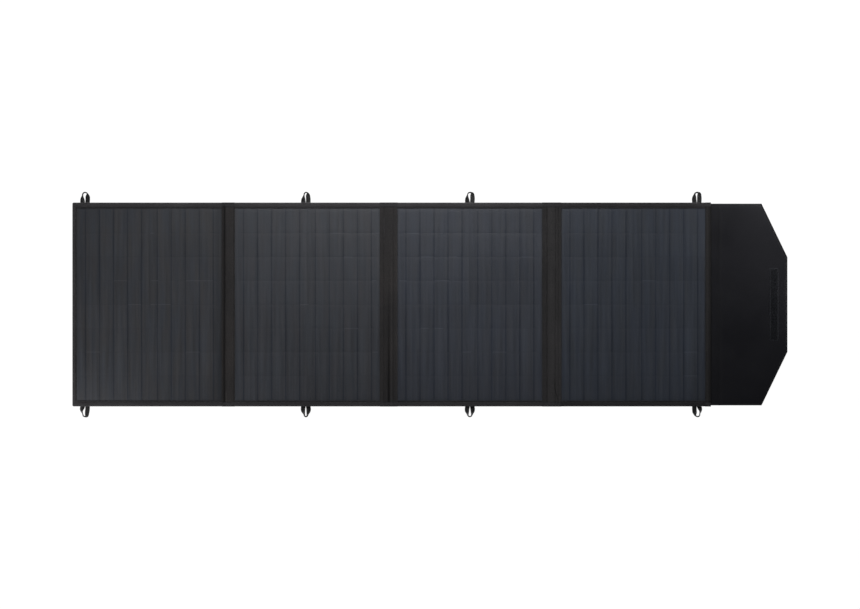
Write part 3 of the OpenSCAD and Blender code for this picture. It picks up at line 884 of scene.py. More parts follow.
def loop_ring(shape, cx, side, edge_y, form, turns, reach):
    """One webbing loop: sewn flat at its two feet, and turned on edge round its tip."""
    foot = 5.4
    tip, bulges, lean, turned = form
    end = reach - tip - LOOP_T / 2
    leg = np.linspace(-7, end, 26)
    up = np.clip(leg / end, 0, 1)
    spread = foot + (tip - foot) * ease(up * 1.1 - 0.1)
    swell = np.sin(up * math.pi) ** 1.3
    left = np.column_stack([-spread - bulges[0] * swell, leg])
    turn = np.linspace(math.pi, 0, 21)[1:-1]
    arc = np.column_stack([tip * np.cos(turn), end + tip * np.sin(turn)])
    right = np.column_stack([spread + bulges[1] * swell, leg])[::-1]
    flat = np.concatenate([left, arc, right])
    far = np.linalg.norm(np.diff(flat, axis=0), axis=1)
    s = np.concatenate([[0], np.cumsum(far)])
    s /= s[-1]
    rise = np.clip(flat[:, 1] / reach, 0, 1)
    flat[:, 0] += lean * rise ** 1.5
    z = mid_z + 0.9 * np.sin(s * 2 * math.pi)
    path = np.column_stack([cx + flat[:, 0], side * (edge_y + flat[:, 1]), z])
    begin, finish, finish_2, begin_2 = turns
    twist = ease((s - begin) / (finish - begin)) * ease((begin_2 - s) / (begin_2 - finish_2))
    twist = twist * math.pi / 2 * turned
    tangent = np.gradient(path, axis=0)
    tangent /= np.linalg.norm(tangent, axis=1, keepdims=True)
    up = np.array([0, 0, 1.0])
    across = np.cross(tangent, up)
    across /= np.linalg.norm(across, axis=1, keepdims=True)
    ups = up * np.cos(twist)[:, None] + across * np.sin(twist)[:, None]
    width = np.interp(s, [0, 0.3, 0.5, 0.7, 1], [LOOP_W, LOOP_W * 0.96, LOOP_W * 0.7, LOOP_W * 0.96, LOOP_W])
    thick = LOOP_T * (1 + 0.35 * bell(s - 0.5, 0.1))
    outline = np.array([lozenge(w, t, 4, 0.1) for w, t in zip(width, thick)])
    points = sweep(path, outline, ups)
    rim = np.abs(outline[..., 0]) / (width[:, None] / 2)
    # Painted highlight: the strap lighter along its edges and at its tip.
    shade = 1 + 1.2 * ease((rim - 0.78) / 0.22) + 1.0 * bell(s - 0.5, 0.1)[:, None]
    shape.tube(points, shade=shade)


# For each loop: (tip radius, bulge of each leg, lean, share of a quarter turn at the tip),
# then where along the strap the turn begins and ends on each side of the tip.
LOOP_TURNS = {
    (1, 1): ((5.4, (0.5, 0.5), 0.0, 1.0), (0.10, 0.38, 0.54, 0.72)),
    (1, -1): ((4.4, (2.4, 0.2), -0.6, 0.93), (0.10, 0.38, 0.50, 0.60)),
    (2, 1): ((4.2, (0.4, 0.4), 0.8, 1.0), (0.10, 0.40, 0.52, 0.66)),
    (2, -1): ((3.4, (1.4, 1.4), 0.3, 0.90), (0.14, 0.46, 0.53, 0.84)),
    (3, 1): ((5.3, (0.8, 0.6), 0.5, 1.0), (0.10, 0.42, 0.51, 0.64)),
    (3, -1): ((4.7, (1.2, 1.2), 0.0, 0.96), (0.16, 0.46, 0.54, 0.84)),
    (4, 1): ((5.2, (0.8, 0.4), 0.7, 0.94), (0.18, 0.48, 0.51, 0.64)),
    (4, -1): ((5.4, (0.4, 2.4), 2.0, 0.97), (0.24, 0.46, 0.60, 0.92)),
}


def build_loops(n):
    """The two hanging loops of a panel, and the bars of stitches that hold them."""
    (x0, _, _), (x1, y1, _) = box_mm(f"hang_loops_{n}")
    cx = (x0 + x1) / 2
    edge = panels[n][1][1]
    reach = y1 - edge
    shape, tack = Shape(), Shape()
    for side in (1, -1):
        form, turns = LOOP_TURNS[n, side]
        loop_ring(shape, cx, side, edge, form, turns, reach - 0.1)
        for k in (0.0, 1.1):
            y, z = side * (edge - 2.2 - k), front_z + 0.42
            stitches(tack, [[cx - 9.5, y, z], [cx + 9.5, y, z]], UP, pitch=1.3, length=1.5, radius=0.24)
    obj = shape.make(f"hanging_loops_{n}", [M["strap"]])
    bars = tack.make(f"loop_bar_tacks_{n}", [M["thread"]])
    settle(obj, f"panel_{n}", [f"hang_loops_{n}"])
    settle(bars, f"panel_{n}")


for n in range(1, 5):
    build_laminate(n)
    build_bezel(n)
    build_binding(n)
    build_back(n)
    build_loops(n)


# ---- hinges between panels ----

def covered(n):
    """The sides of the cloth strip to the right of panel n: it covers both panels' inner edges."""
    low = panels[n][1][0] - WINDOW_SIDES[n][1] + 0.3
    high = panels[n + 1][0][0] + WINDOW_SIDES[n + 1][0] - 0.3 if n < 4 else panels[4][1][0] + 0.1
    return low, high


def strip_levels(n, x, y):
    """Level and painted shade of the front cloth to the right of panel n, with its folds: creases and panel
    edges painted darker, raised folds painted lighter.
    """
    low, high = covered(n)
    right, left = panels[n][1][0], panels[n + 1][0][0] if n < 4 else high + 9
    down = np.clip((228 - y) / 456, 0, 1)
    wander = ripple(y, y * 0, 30 + n, 170)
    z = front_z + 0.2 + 0.05 * ripple(x * 3, y, 300 + n, 60)
    shade = np.full(x.shape, 1.0) + 0.06 * ripple(x * 6, y, 310 + n, 120)

    def crease(at, width, depth, dark):
        """Cuts a fold into the cloth's level and darkens it with painted shade."""
        nonlocal z, shade
        cut = bell(x - at, width)
        z, shade = z - depth * cut, shade * (1 - dark * cut)

    def raised(share, height, light):
        """Lifts the cloth along a fold and lightens it with a painted highlight."""
        nonlocal z, shade
        z, shade = z + height * share, shade * (1 + light * share)

    z -= 0.25 * bell(x - (right + left) / 2, (left - right) * 0.4) if n < 4 else 0
    if n == 1:
        shade *= 1 - 0.25 * bell(x - right + 6.5, 4.5)
        crease(right - 4.5 + 0.25 * wander, 2.4 + 0.6 * down, 0.9, 0.62)
        tuck = bell(x - right + 1.2 - 0.04 * (-y - 190), 1.2) * ease((-186 - y) / 16)
        raised(tuck, 0.4, 0.45)
        crease(high - 1.3, 0.8, 0.35, 0.40)
    elif n == 2:
        crease(right - 1.6 + 0.5 * wander, 1.3, 0.5, 0.12 + 0.2 * down)
        deep = ease((down - 0.22) / 0.75)
        crease(right + 9.9 + 0.3 * wander, 2.3, 0.9 * deep, 0.78 * deep)
        shade *= 1 - 0.22 * bell(x - right - 6, 5) * deep
        crease(left + 1.4 - 0.5 * wander, 1.2, 0.3, 0.20)
        ridge = bell(x - left + 3.0 - 0.4 * wander, 1.3) * ease((down - 0.15) / 0.3)
        raised(ridge, 0.25, 0.28)
        tuck = bell(x - right - 4.6, 1.0) * ease((-182 - y) / 14)
        raised(tuck, 0.3, 0.4)
        shade *= 1 + 0.14 * ease((x - left - 6.5) / 2)
    elif n == 3:
        shade *= 1 - 0.16 * ease((right - 1 - x) / 2)
        crease(right + 0.5 + 0.3 * wander, 1.2, 0.6, 0.40 + 0.1 * ease((down - 0.85) / 0.1))
        shade *= 1.05 + 0.14 * bell(x - right - 10, 6)
        crease(left - 1.8 - 1.6 * down + 0.4 * wander, 0.9, 0.35, 0.24 + 0.06 * down)
        crease(left + 4.0 + 0.3 * wander, 1.0, 0.3, 0.20)
        hook = left - 3.6 + 6.2 * ease((-y - 184) / 30) ** 1.7
        curl = ease((-165 - y) / 20) * ease((y + 216) / 4)
        crease(hook, 1.1, 0.5 * curl, 0.45 * curl)
    else:
        crease(low + 1.0, 0.7, 0.3, 0.25)
        shade *= 0.82 - 0.38 * ease((x - high + 9) / 8)
    return z, shade


def round_end(half, front, back, out, lip, steps):
    """The (y, z) path of a cloth that turns over both ends of a strip onto its back."""
    turn = [(half - 0.7, front + 0.1), (half - 0.25, front - 0.05), (half + out - 0.02, front - 0.45),
            (half + out, front - 1.3), (half + out, (front + back) / 2), (half + out, back + 1.3),
            (half + out - 0.02, back + 0.45), (half - 0.25, back + 0.05), (half - 0.7, back - 0.1)]
    fold = turn + [(half - lip * t, back - 0.15) for t in (0.3, 0.6, 0.93, 1.0)]
    ends = np.array(fold)
    mid = np.column_stack([np.linspace(-half + 1.2, half - 1.2, steps), np.full(steps, front)])
    return np.concatenate([ends[::-1] * (-1, 1), mid, ends])


def build_strip(n):
    """Cloth over the gap to the right of panel n. Border tape turns it over at both ends."""
    low, high = covered(n)
    half = panels[n][1][1]
    path = round_end(half, front_z, back_z - 0.35, 0.3, LIP_END, 216)
    xs = np.linspace(low, high, max(int((high - low) / 0.45), 20))
    x, t = np.meshgrid(xs, np.arange(len(path)), indexing="ij")
    y, z0 = path[t, 0], path[t, 1]
    across = np.concatenate([[0], np.cumsum(np.linalg.norm(np.diff(path, axis=0), axis=1))])
    z, shade = strip_levels(n, x, y)
    tape_in = ease((np.abs(y) - half + LIP_END + 0.4) / 0.5)
    seam = bell(np.abs(y) - half + LIP_END + 0.5, 0.55)
    on_top = ease((z0 - front_z + 1.2) / 1.2)
    z = front_z + 0.2 + (z - front_z - 0.2) * (1 - 0.8 * tape_in) + 0.32 * tape_in - 0.3 * seam
    # painted shade: darker in the sunk seam where the tape is sewn on
    shade = 1 + (shade - 1) * (1 - 0.75 * tape_in) - 0.35 * seam
    z = np.where(on_top > 0, z0 + (z - front_z) * on_top, z0)
    shape = Shape()
    taped = np.abs((y[:, :-1] + y[:, 1:]) / 2)[:-1] > half - LIP_END - 0.3
    shape.grid(np.stack([x, y, z], 2), shade=shade, slot=taped.astype(int).ravel(),
               uv=np.stack([x, across[t]], 2))
    fabric = M["hinge"] if n < 3 else M["hinge_plain"]
    obj = shape.make(f"hinge_cloth_{n}", [fabric, M["binding"]], smooth=75, recalc=False)
    face_up(obj, index=len(path) // 2)
    solidify(obj, 0.4)
    sewn = Shape()
    for side in (1, -1):
        xs = np.linspace(low + 1, high - 1, 30)
        stitches(sewn, points_at(xs, side * (half - LIP_END * 0.8), front_z + 0.5), UP, radius=0.24, lift=0)
    thread = sewn.make(f"hinge_stitches_{n}", [M["thread"]])
    pieces = [obj, thread]
    if n < 4:
        inset = np.array([-0.6, 0.6]) + (panels[n][1][0], panels[n + 1][0][0])
        xs = np.linspace(inset[0], inset[1], max(int((inset[1] - inset[0]) / 0.6), 14))
        ys = np.linspace(-half + 3, half - 3, 130)
        x, y = np.meshgrid(xs, ys, indexing="ij")
        mid = (inset[0] + inset[1]) / 2
        z = back_z + 0.1 + 0.9 * bell(x - mid, 3.0) + 0.15 * ripple(x * 3, y, 320 + n, 50)
        # painted shade darkens the backing along the middle of its fold
        back = Shape().field(x, y, z, shade=1 - 0.3 * bell(x - mid, 2.0))
        back = back.make(f"hinge_backing_{n}", [M["cover"]], recalc=False)
        face_up(back, False)
        solidify(back, 0.5)
        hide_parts(f"hinge_web_{n}")
        pieces.append(back)
        for piece in pieces:
            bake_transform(piece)
    else:
        for piece in pieces:
            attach(piece, "panel_4")


def build_wires(n):
    """Two sheathed wires that carry current from panel to panel, with a little slack."""
    (x0, y0, _), (x1, y1, _) = box_mm(f"link_wires_{n}")
    shape = Shape()
    radius = 0.8
    ring = circle(12, radius)
    for y in (y0 + radius, y1 - radius):
        t = np.linspace(0, 1, 18)
        path = points_at(x0 + (x1 - x0) * t, y + 1.2 * np.sin(t * 2 * math.pi), mid_z)
        shape.tube(sweep(path, ring, UP))
    obj = shape.make(f"panel_wires_{n}", [M["wire"]])
    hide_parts(f"link_wires_{n}")
    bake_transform(obj)


for n in range(1, 5):
    build_strip(n)
for n in range(1, 4):
    build_wires(n)


# ---- closing flap ----

flap_x0 = box_mm("flap_base")[0][0]
flap_x1 = box_mm("flap_front_cover")[1][0]
flap_half = box_mm("flap_base")[1][1]
flap_top = box_mm("flap_base")[1][2]
flap_low = box_mm("flap_base")[0][2]
spine_x = joint_mm("spine_fold")[0]
leaf_x = joint_mm("flap_fold")[0]
spine_mid = (spine_x + leaf_x) / 2
HEM_IN = 4.4
SHOULDER = 114.0
END_HALF = 106.0


def flap_half_at(x):
    """Half the flap's height at x."""
    t = np.clip((x - flap_x0 - SHOULDER) / (flap_x1 - flap_x0 - SHOULDER), 0, 1)
    return flap_half + (END_HALF - flap_half) * t


def flap_grid(x_from, x_to):
    """Columns across the flap with rows that crowd at its edges, and the distance to the nearest edge."""
    near = np.array([0, 0.15, 0.45, 0.9, 1.5, 2.2, 3.0, 3.8, 4.4, 5.0, 6.0, 8.0])
    xs = [x_from, x_to]
    xs += list(np.arange(x_from, x_to, 3.2))
    xs += [flap_x0 + SHOULDER - 1, flap_x0 + SHOULDER, flap_x0 + SHOULDER + 1]
    for fold in (spine_x, leaf_x):
        xs += list(fold + np.linspace(-3.5, 3.5, 15))
    xs += list(flap_x1 - near)
    xs = np.array(sorted(set(np.round([x for x in xs if x_from <= x <= x_to], 3))))
    keep = np.concatenate([[True], np.diff(xs) > 0.1])
    keep[-1] = True
    xs = xs[keep]
    inner = np.linspace(-1, 1, 91)
    rows = []
    for x in xs:
        half = float(flap_half_at(x))
        mid = inner * (half - near[-1] - 3)
        rows.append(np.concatenate([-half + near, mid, (half - near)[::-1]]))
    y = np.array(rows)
    x = np.broadcast_to(xs[:, None], y.shape).copy()
    slope = math.hypot(flap_x1 - flap_x0 - SHOULDER, flap_half - END_HALF)
    across = (flap_x1 - flap_x0 - SHOULDER) / slope
    side = flap_half_at(x) - np.abs(y)
    side = np.where(x > flap_x0 + SHOULDER, side * across, side)
    return x, y, np.minimum(side, flap_x1 - x)


def fold_dip(x, fold, width, depth):
    return depth * bell(x - fold, width)


def build_flap_side(name, x_from, x_to, front, material):
    """One face of the flap between two places, rolled over at the free edges."""
    x, y, edge = flap_grid(x_from, x_to)
    roll_r = 1.9
    roll = roll_r * (1 - round_up(edge / roll_r))
    soft = ease((edge - 5) / 25) * ease(np.abs(x - spine_mid) / 6)
    wave = soft * (0.22 * ripple(x, y, 400 + front, 110) + 0.06 * ripple(x, y, 405 + front, 30))
    seam = 0.22 * bell(edge - HEM_IN, 0.7)
    # Painted highlight along the rolled edge and painted shade in the sunk hem seam.
    shade = np.ones(x.shape) + 0.22 * bell(edge - 0.9, 1.2) - 0.12 * bell(edge - HEM_IN, 0.8)
    if front:
        z = flap_top - roll + wave - seam
        z -= fold_dip(x, spine_x, 4.0, 0.55) + fold_dip(x, leaf_x, 3.0, 0.06)
        z -= 0.9 * bell(x - flap_x0, 1.4)
        # Painted shade beside the spine fold, and a painted shadow along the flap's start below panel 4's
        # edge.
        shade = shade - 0.20 * bell(x - spine_x + 3, 6)
        shade = shade - 0.65 * bell(x - flap_x0 + 0.3, 1.8)
    else:
        z = flap_low + roll - np.abs(wave) * 0.5 + seam
        z += fold_dip(x, spine_x, 2.6, 1.7) + fold_dip(x, leaf_x, 2.6, 1.7)
    shape = Shape().field(x, y, z, shade=shade)
    obj = shape.make(name, [material], smooth=70, recalc=False)
    face_up(obj, bool(front), len(obj.data.polygons) // 2)
    solidify(obj, 0.6)
    return obj


for front, label, material, slot in ((1, "front", "skin", "flap_skin"), (0, "back", "cover", "cover_fabric")):
    inner = build_flap_side(f"spine_skin_{label}", flap_x0 - 0.6, spine_mid, front, M[material])
    outer = build_flap_side(f"flap_skin_{label}", spine_mid, flap_x1, front, M[material])
    level = (flap_top if front else flap_low) * MM
    if front:
        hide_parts("flap_base", "spine_web", "spine_cover")
        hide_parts("flap_web", "flap_front_cover")
    else:
        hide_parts("flap_back_cover")
    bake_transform(inner)
    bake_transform(outer)


def flap_path(inset, x_from):
    """A line round the flap's free edges, that far in from them."""
    xs = flap_x0 + SHOULDER - inset * 0.25
    end = flap_x1 - inset
    tip = float(flap_half_at(flap_x1)) - inset * 0.3
    half = flap_half - inset
    return np.array([(x_from, half), (xs, half), (end, tip), (end, -tip), (xs, -half), (x_from, -half)])


hem = Shape()
for level, up in ((flap_top - 0.16, 1), (flap_low + 0.16, -1)):
    line = flap_path(HEM_IN, leaf_x + 4)
    stitches(hem, at_level(line, level), (0, 0, up), radius=0.24)
settle(hem.make("flap_hem_stitches", [M["thread"]]), "flap")


# ---- hook and loop closure ----

def build_hook_tape():
    """Moulded hooks in rows on a woven strip, sewn round its edge."""
    (x0, y0, z0), (x1, y1, z1) = box_mm("hook_tape")
    rings = inset_rings((x0, y0), (x1, y1), (
        (0.6, z0 - 0.05), (0, z0 + 0.1), (0, z0 + 0.35), (0.4, z0 + 0.55), (2.2, z0 + 0.55),
        (2.5, z0 + 0.45), (2.9, z0 + 0.6), (3.3, z0 + 0.6), (9.0, z0 + 0.6)), 1.2, 14, 80, 4)
    shade = np.ones((len(rings), len(rings[0])))
    shade[3:5] = 1.6
    shape = Shape().tube(rings, shade=shade)
    ring = loop_points(x0 + 1.9, x1 - 1.9, y0 + 1.9, y1 - 1.9, 1.0, 14, 80, 4)
    stitches(shape, at_level(ring, z0 + 0.58), UP, closed=True, radius=0.2, slot=1)
    px, py = np.meshgrid(np.arange(x0 + 3.6, x1 - 3.2, 1.3),
                         np.arange(y0 + 3.8, y1 - 3.4, 1.75), indexing="ij")
    px, py = px.ravel(), py.ravel()
    lean = np.where(np.arange(len(px)) % 2, 1, -1)
    rise = z1 - z0 - 0.6
    steps = np.array([0, 0.55, 0.9, 1.0, 0.86])
    shift = np.array([0, 0.05, 0.2, 0.5, 0.72])
    size = np.array([0.28, 0.2, 0.17, 0.14, 0.08])
    turn = np.arange(4) * math.pi / 2 + math.pi / 4
    centre = np.stack([
        np.broadcast_to(px[:, None], (len(px), 5)),
        py[:, None] + lean[:, None] * shift[None],
        np.broadcast_to(z0 + 0.55 + rise * steps[None], (len(px), 5))], 2)
    ring = np.stack([np.cos(turn), np.sin(turn), turn * 0], 1)
    shape.tube(centre[:, :, None] + ring[None, None] * size[None, :, None, None])
    obj = shape.make("hook_strip", [M["hook"], M["thread"]])
    settle(obj, "flap", ["hook_tape"])


def build_loop_tape():
    """The soft half of the closure: a mat of fine loops on the back of panel 1."""
    (x0, y0, _), (x1, y1, z1) = box_mm("loop_tape")
    shape = Shape().tube(inset_rings((x0, y0), (x1, y1), (
        (0.5, z1 - 0.1), (0, z1 - 0.3), (0, z1 - 0.7), (0.5, z1 - 0.85), (2.0, z1 - 0.8),
        (2.6, z1 - 1.0), (3.4, z1 - 1.25)), 1.2, 20, 84, 4))
    own = np.random.default_rng(501)
    px, py = np.meshgrid(np.arange(x0 + 4, x1 - 3.6, 1.1), np.arange(y0 + 4, y1 - 3.6, 1.1), indexing="ij")
    px = px.ravel() + own.uniform(-0.35, 0.35, px.size)
    py = py.ravel() + own.uniform(-0.35, 0.35, py.size)
    way = own.uniform(0, math.pi, len(px))
    t = np.linspace(0, math.pi, 6)
    span = own.uniform(0.45, 0.7, len(px))
    tall = own.uniform(0.12, 0.17, len(px))
    centre = np.stack([
        px[:, None] + np.cos(way)[:, None] * span[:, None] * np.cos(t)[None],
        py[:, None] + np.sin(way)[:, None] * span[:, None] * np.cos(t)[None],
        z1 - 1.22 - tall[:, None] * np.sin(t)[None]], 2)
    turn = np.arange(3) * 2 * math.pi / 3
    ring = np.stack([np.cos(turn), np.sin(turn), np.sin(turn) * 0.6], 1) * 0.09
    shape.tube(centre[:, :, None] + ring[None, None])
    ring = loop_points(x0 + 1.8, x1 - 1.8, y0 + 1.8, y1 - 1.8, 1.0, 20, 84, 4)
    stitches(shape, at_level(ring, z1 - 0.82), DOWN, closed=True, radius=0.2, slot=1)
    obj = shape.make("loop_strip", [M["pile"], M["thread"]])
    settle(obj, "panel_1", ["loop_tape"])


build_hook_tape()
build_loop_tape()


# ---- carry handle ----

def build_handle():
    """Folded webbing, sewn to the spine at both feet with a box and a cross."""
    (x0, _, z0), (x1, y1, z1) = box_mm("carry_handle")
    cx, width = (x0 + x1) / 2, x1 - x0
    thick = 2.4
    foot_z = z1 - thick / 2
    low_z = z0 + thick / 2
    half = y1
    ys = np.concatenate([np.linspace(-half, -half + 27, 8), np.linspace(-half + 29, -half + 47, 14),
                         np.linspace(-half + 50, half - 50, 36)])
    ys = np.concatenate([ys, -ys[:22][::-1]])
    away = ease((half - 27 - np.abs(ys)) / 18)
    z = foot_z + (low_z - foot_z) * away
    path = points_at(cx, ys, z)
    outline = lozenge(width, thick, 4)
    points = sweep(path, outline, UP)
    rim = np.abs(outline[:, 0]) / (width / 2)
    shape = Shape().tube(points, shade=1 + 0.35 * ease((rim - 0.85) / 0.15)[None])
    for side in (1, -1):
        a, b = side * (half - 3), side * (half - 25)
        box = [(cx - 9, a), (cx + 9, a), (cx + 9, b), (cx - 9, b)]
        for line in (box + box[:1], [box[0], box[2]], [box[1], box[3]]):
            line = np.array([(px, py, foot_z - thick / 2) for px, py in line])
            stitches(shape, line, DOWN, pitch=2.6, length=2.0, radius=0.26, slot=1)
    obj = shape.make("handle_webbing", [M["webbing"], M["thread"]])
    settle(obj, "spine", ["carry_handle"])


def build_grip():
    """A soft sleeve round the webbing, closed by a seam underneath."""
    (x0, y0, z0), (x1, y1, z1) = box_mm("handle_grip")
    cx, cz = (x0 + x1) / 2, (z0 + z1) / 2
    width, thick = x1 - x0, z1 - z0
    ys = np.concatenate([[y0, y0 + 0.15, y0 + 0.6, y0 + 1.4], np.linspace(y0 + 3, y1 - 3, 60),
                         [y1 - 1.4, y1 - 0.6, y1 - 0.15, y1]])
    end = np.minimum(ys - y0, y1 - ys)
    shrink = 1.3 * (1 - round_up(end / 1.4))
    outlines = []
    for cut in shrink:
        line = lozenge(width, thick, 8, 0)
        size = np.array([(width / 2 - cut) / (width / 2), (thick / 2 - cut * 0.8) / (thick / 2)])
        outlines.append(line * size)
    outlines = np.array(outlines)
    path = points_at(cx, ys, cz)
    points = sweep(path, outlines, UP)
    squeeze = 0.12 * ripple(points[..., 1], points[..., 0] * 2, 601, 22)
    points[..., 2] += squeeze * np.sign(points[..., 2] - cz) * 0.5
    shape = Shape().tube(points)
    row = np.array([[cx + 2.2, y0 + 3, z0 + 0.02], [cx + 2.2, y1 - 3, z0 + 0.02]])
    stitches(shape, row, DOWN, pitch=3.0, length=2.3, radius=0.24, slot=1)
    obj = shape.make("handle_sleeve", [M["rubber"], M["thread"]])
    settle(obj, "spine", ["handle_grip"])


build_handle()
build_grip()


# ---- rear pocket ----

def build_gusset():
    """The pocket's side walls: cloth with a piped rim, sewn to the back of panel 4."""
    (x0, y0, z0), (x1, y1, z1) = box_mm("pocket_gusset")
    wall, r = 2.0, 12.0
    outer = [(0.9, z1 - 0.02), (0.5, z1 - 0.25), (0.6, z1 - 1.2), (0.25, z1 - 3), (-0.35, z1 - 7),
             (-0.45, z1 - 11), (-0.1, z1 - 15), (0.35, z0 + 3.4), (0.2, z0 + 2.9), (-0.25, z0 + 2.2),
             (-0.3, z0 + 1.3), (0.1, z0 + 0.45), (0.8, z0 + 0.04), (1.5, z0 + 0.25)]
    inner = [(wall, z0 + 1.0), (wall - 0.2, z0 + 3.5), (wall - 0.3, z1 - 11), (wall - 0.1, z1 - 3),
             (wall, z1 - 0.05)]
    rings = inset_rings((x0, y0), (x1, y1), outer + inner, r, 70, 50, 9, least=1)
    weight = np.zeros(len(rings))
    weight[3:7] = 1
    out = rings[..., :2] - np.array([(x0 + x1) / 2, (y0 + y1) / 2])
    out /= np.linalg.norm(out, axis=2, keepdims=True)
    sag = 0.35 * ripple(rings[..., 0], rings[..., 1] + rings[..., 2] * 2, 701, 55) * weight[:, None]
    rings[..., :2] += out * sag[..., None]
    # Painted shade in the groove above the piped rim, and painted highlight on the rim's bulge.
    shade = np.ones(len(rings))
    shade[7] = 0.6
    shade[9:12] = 1.25
    shape = Shape().grid(rings, wrap=(True, True), shade=shade[:, None])
    obj = shape.make("pocket_walls", [M["cover"]])
    settle(obj, "panel_4", ["pocket_gusset"])


def build_lid():
    """The pocket's lid: two layers of cloth, sewn round and a little full in the middle."""
    (x0, y0, z0), (x1, y1, z1) = box_mm("pocket_lid")
    rings, steps = [], []
    near = [0, 0.15, 0.4, 0.8, 1.4, 2.2, 3.2, 4.4, 6]
    for t in np.concatenate([near, np.linspace(10, (y1 - y0) / 2 - 3, 14)]):
        ring = loop_points(x0 + t, x1 - t, y0 + t, y1 - t, max(8.0 - t, 0.8), 60, 44, 6)
        rings.append(ring)
        steps.append(t)
    rings, steps = np.array(rings), np.array(steps)
    x, y = rings[..., 0], rings[..., 1]
    edge = np.broadcast_to(steps[:, None], x.shape)
    mid = (z0 + z1) / 2
    round_off = round_up(edge / 0.9)
    seam = 0.2 * bell(edge - HEM_IN, 0.8)
    low = mid - 0.62 * round_off + seam - 0.10 * ease((edge - 6) / 30) * (1 + 0.8 * ripple(x, y, 801, 70))
    high = mid + 0.62 * round_off - seam
    shape = Shape()
    shape.grid(np.stack([x, y, low], 2), wrap=(False, True), uv=np.stack([x, y], 2))
    shape.grid(np.stack([x, y, high], 2), wrap=(False, True), uv=np.stack([x, y], 2))
    last = len(steps) - 1
    for level in (low, high):
        ring = np.stack([x[last], y[last], level[last]], 1)
        centre = ring.mean(0)
        fan = np.array([ring, centre + (ring - centre) * 0.02])
        shape.grid(fan, wrap=(False, True), uv=fan[..., :2])
        tip = fan[1]
        shape.grid(np.array([tip, centre + (tip - centre) * 1e-5]), wrap=(False, True),
                   uv=np.array([tip[:, :2], tip[:, :2]]))
    row = loop_points(x0 + HEM_IN, x1 - HEM_IN, y0 + HEM_IN, y1 - HEM_IN, 3.6, 60, 44, 6)
    obj = shape.make("pocket_lid_cloth", [M["cover"], M["thread"]], weld=True)
    sewn = Shape()
    stitches(sewn, at_level(row, mid - 0.45), DOWN, closed=True, radius=0.22)
    settle(obj, "pocket_lid", ["pocket_lid"])
    settle(sewn.make("pocket_lid_stitches", [M["thread"]]), "pocket_lid")


TOOTH_PITCH = 1.6
TOOTH_WIDE = np.array([0.25, 0.5, 0.42, 0.62, 0.3])
TOOTH_TALL = np.array([0.3, 0.55, 0.5, 0.58, 0.3])
TOOTH_REACH = np.array([2.5, 2.2, 1.2, 0.2, -0.25])


def build_zip():
    """Two rows of teeth on their tapes: one on the pocket's wall, and one on its lid."""
    (x0, y0, z0), (x1, y1, z1) = box_mm("zip_chain")
    lid_y = box_mm("pocket_lid")[1][1]
    lid_z = box_mm("pocket_lid")[1][2]
    centre = y0 + 3.5
    level = (z0 + z1) / 2
    rows = (("zip_row_wall", "panel_4", 1, y1 + 0.3, z1 - 0.3),
            ("zip_row_lid", "pocket_lid", -1, lid_y - 2.0, lid_z - 0.1))
    for name, body, sign, far_y, far_z in rows:
        shape = Shape()
        ends = [(centre + sign * 0.9, level), (centre + sign * 2.6, level), (far_y, far_z)]
        t = np.linspace(0, 1, 9)
        yy = np.interp(t, [0, 0.35, 1], [e[0] for e in ends])
        zz = np.interp(t, [0, 0.35, 1], [e[1] for e in ends])
        xs = np.linspace(x0, x1, 90)
        p = np.zeros((len(xs), 18, 3))
        p[..., 0] = xs[:, None]
        p[:, :9, 1], p[:, 9:, 1] = yy, yy[::-1]
        p[:, :9, 2], p[:, 9:, 2] = zz + 0.22, zz[::-1] - 0.22
        shape.tube(p)
        tx = np.arange(x0 + 1.2 + (0.8 if sign > 0 else 0), x1 - 1.0, TOOTH_PITCH)
        turn = np.arange(8) * math.pi / 4 + math.pi / 8
        tooth = np.stack([TOOTH_WIDE[:, None] * np.cos(turn)[None],
                          np.broadcast_to(sign * TOOTH_REACH[:, None], (5, 8)),
                          TOOTH_TALL[:, None] * np.sin(turn)[None]], 2)
        base = np.stack([tx, np.full(len(tx), centre), np.full(len(tx), level)], 1)
        shape.tube(base[:, None, None] + tooth[None], slot=1)
        obj = shape.make(name, [M["zip_tape"], M["zip_teeth"]])
        settle(obj, body, ["zip_chain"] if sign > 0 else ())


def build_slider():
    """The slider, with a waist between its two wings, a bridge and a ribbed pull."""
    (x0, y0, z0), (x1, y1, z1) = box_mm("zip_slider")
    shape = Shape()
    body_z = z1 - 1.4
    cy = y0 + (y1 - y0) / 2
    length, width = 14.0, y1 - y0
    t = np.linspace(0, 1, 13)
    half = width / 2 * (0.62 + 0.38 * np.abs(np.cos(t * math.pi)) ** 0.7)
    outline = np.concatenate([np.column_stack([x0 + t * length, cy + half]),
                              np.column_stack([x0 + t[::-1] * length, cy - half[::-1]])])
    centre = outline.mean(0)
    low, high = body_z + 0.02, body_z + 0.75
    plates = ((0.90, low), (0.98, low + 0.12), (1.0, (low + high) / 2), (0.98, high - 0.1), (0.92, high))
    shape.tube(np.array([at_level(centre + (outline - centre) * scale, z) for scale, z in plates]))
    bridge = points_at(x0 + 2 + np.linspace(0, 10, 11), cy,
                       body_z + 0.3 - 0.85 * np.sin(np.linspace(0, math.pi, 11)))
    shape.tube(sweep(bridge, lozenge(2.4, 0.9, 4), UP))
    pull = points_at(np.linspace(x0 + 6, x1 - 0.3, 26), cy, z0 + 0.5)
    pull[:, 2] += 0.08 * np.sin(np.linspace(0, 14 * math.pi, 26)) * np.linspace(0, 1, 26)
    wide = np.interp(np.linspace(0, 1, 26), [0, 0.1, 0.25, 0.9, 1], [2.2, 3.4, 3.0, 4.0, 3.2])
    outline = np.array([lozenge(w, 0.9, 4) for w in wide])
    shape.tube(sweep(pull, outline, UP))
    obj = shape.make("zip_slider_and_pull", [M["zip_metal"]])
    settle(obj, "zip_slider", ["zip_slider"])


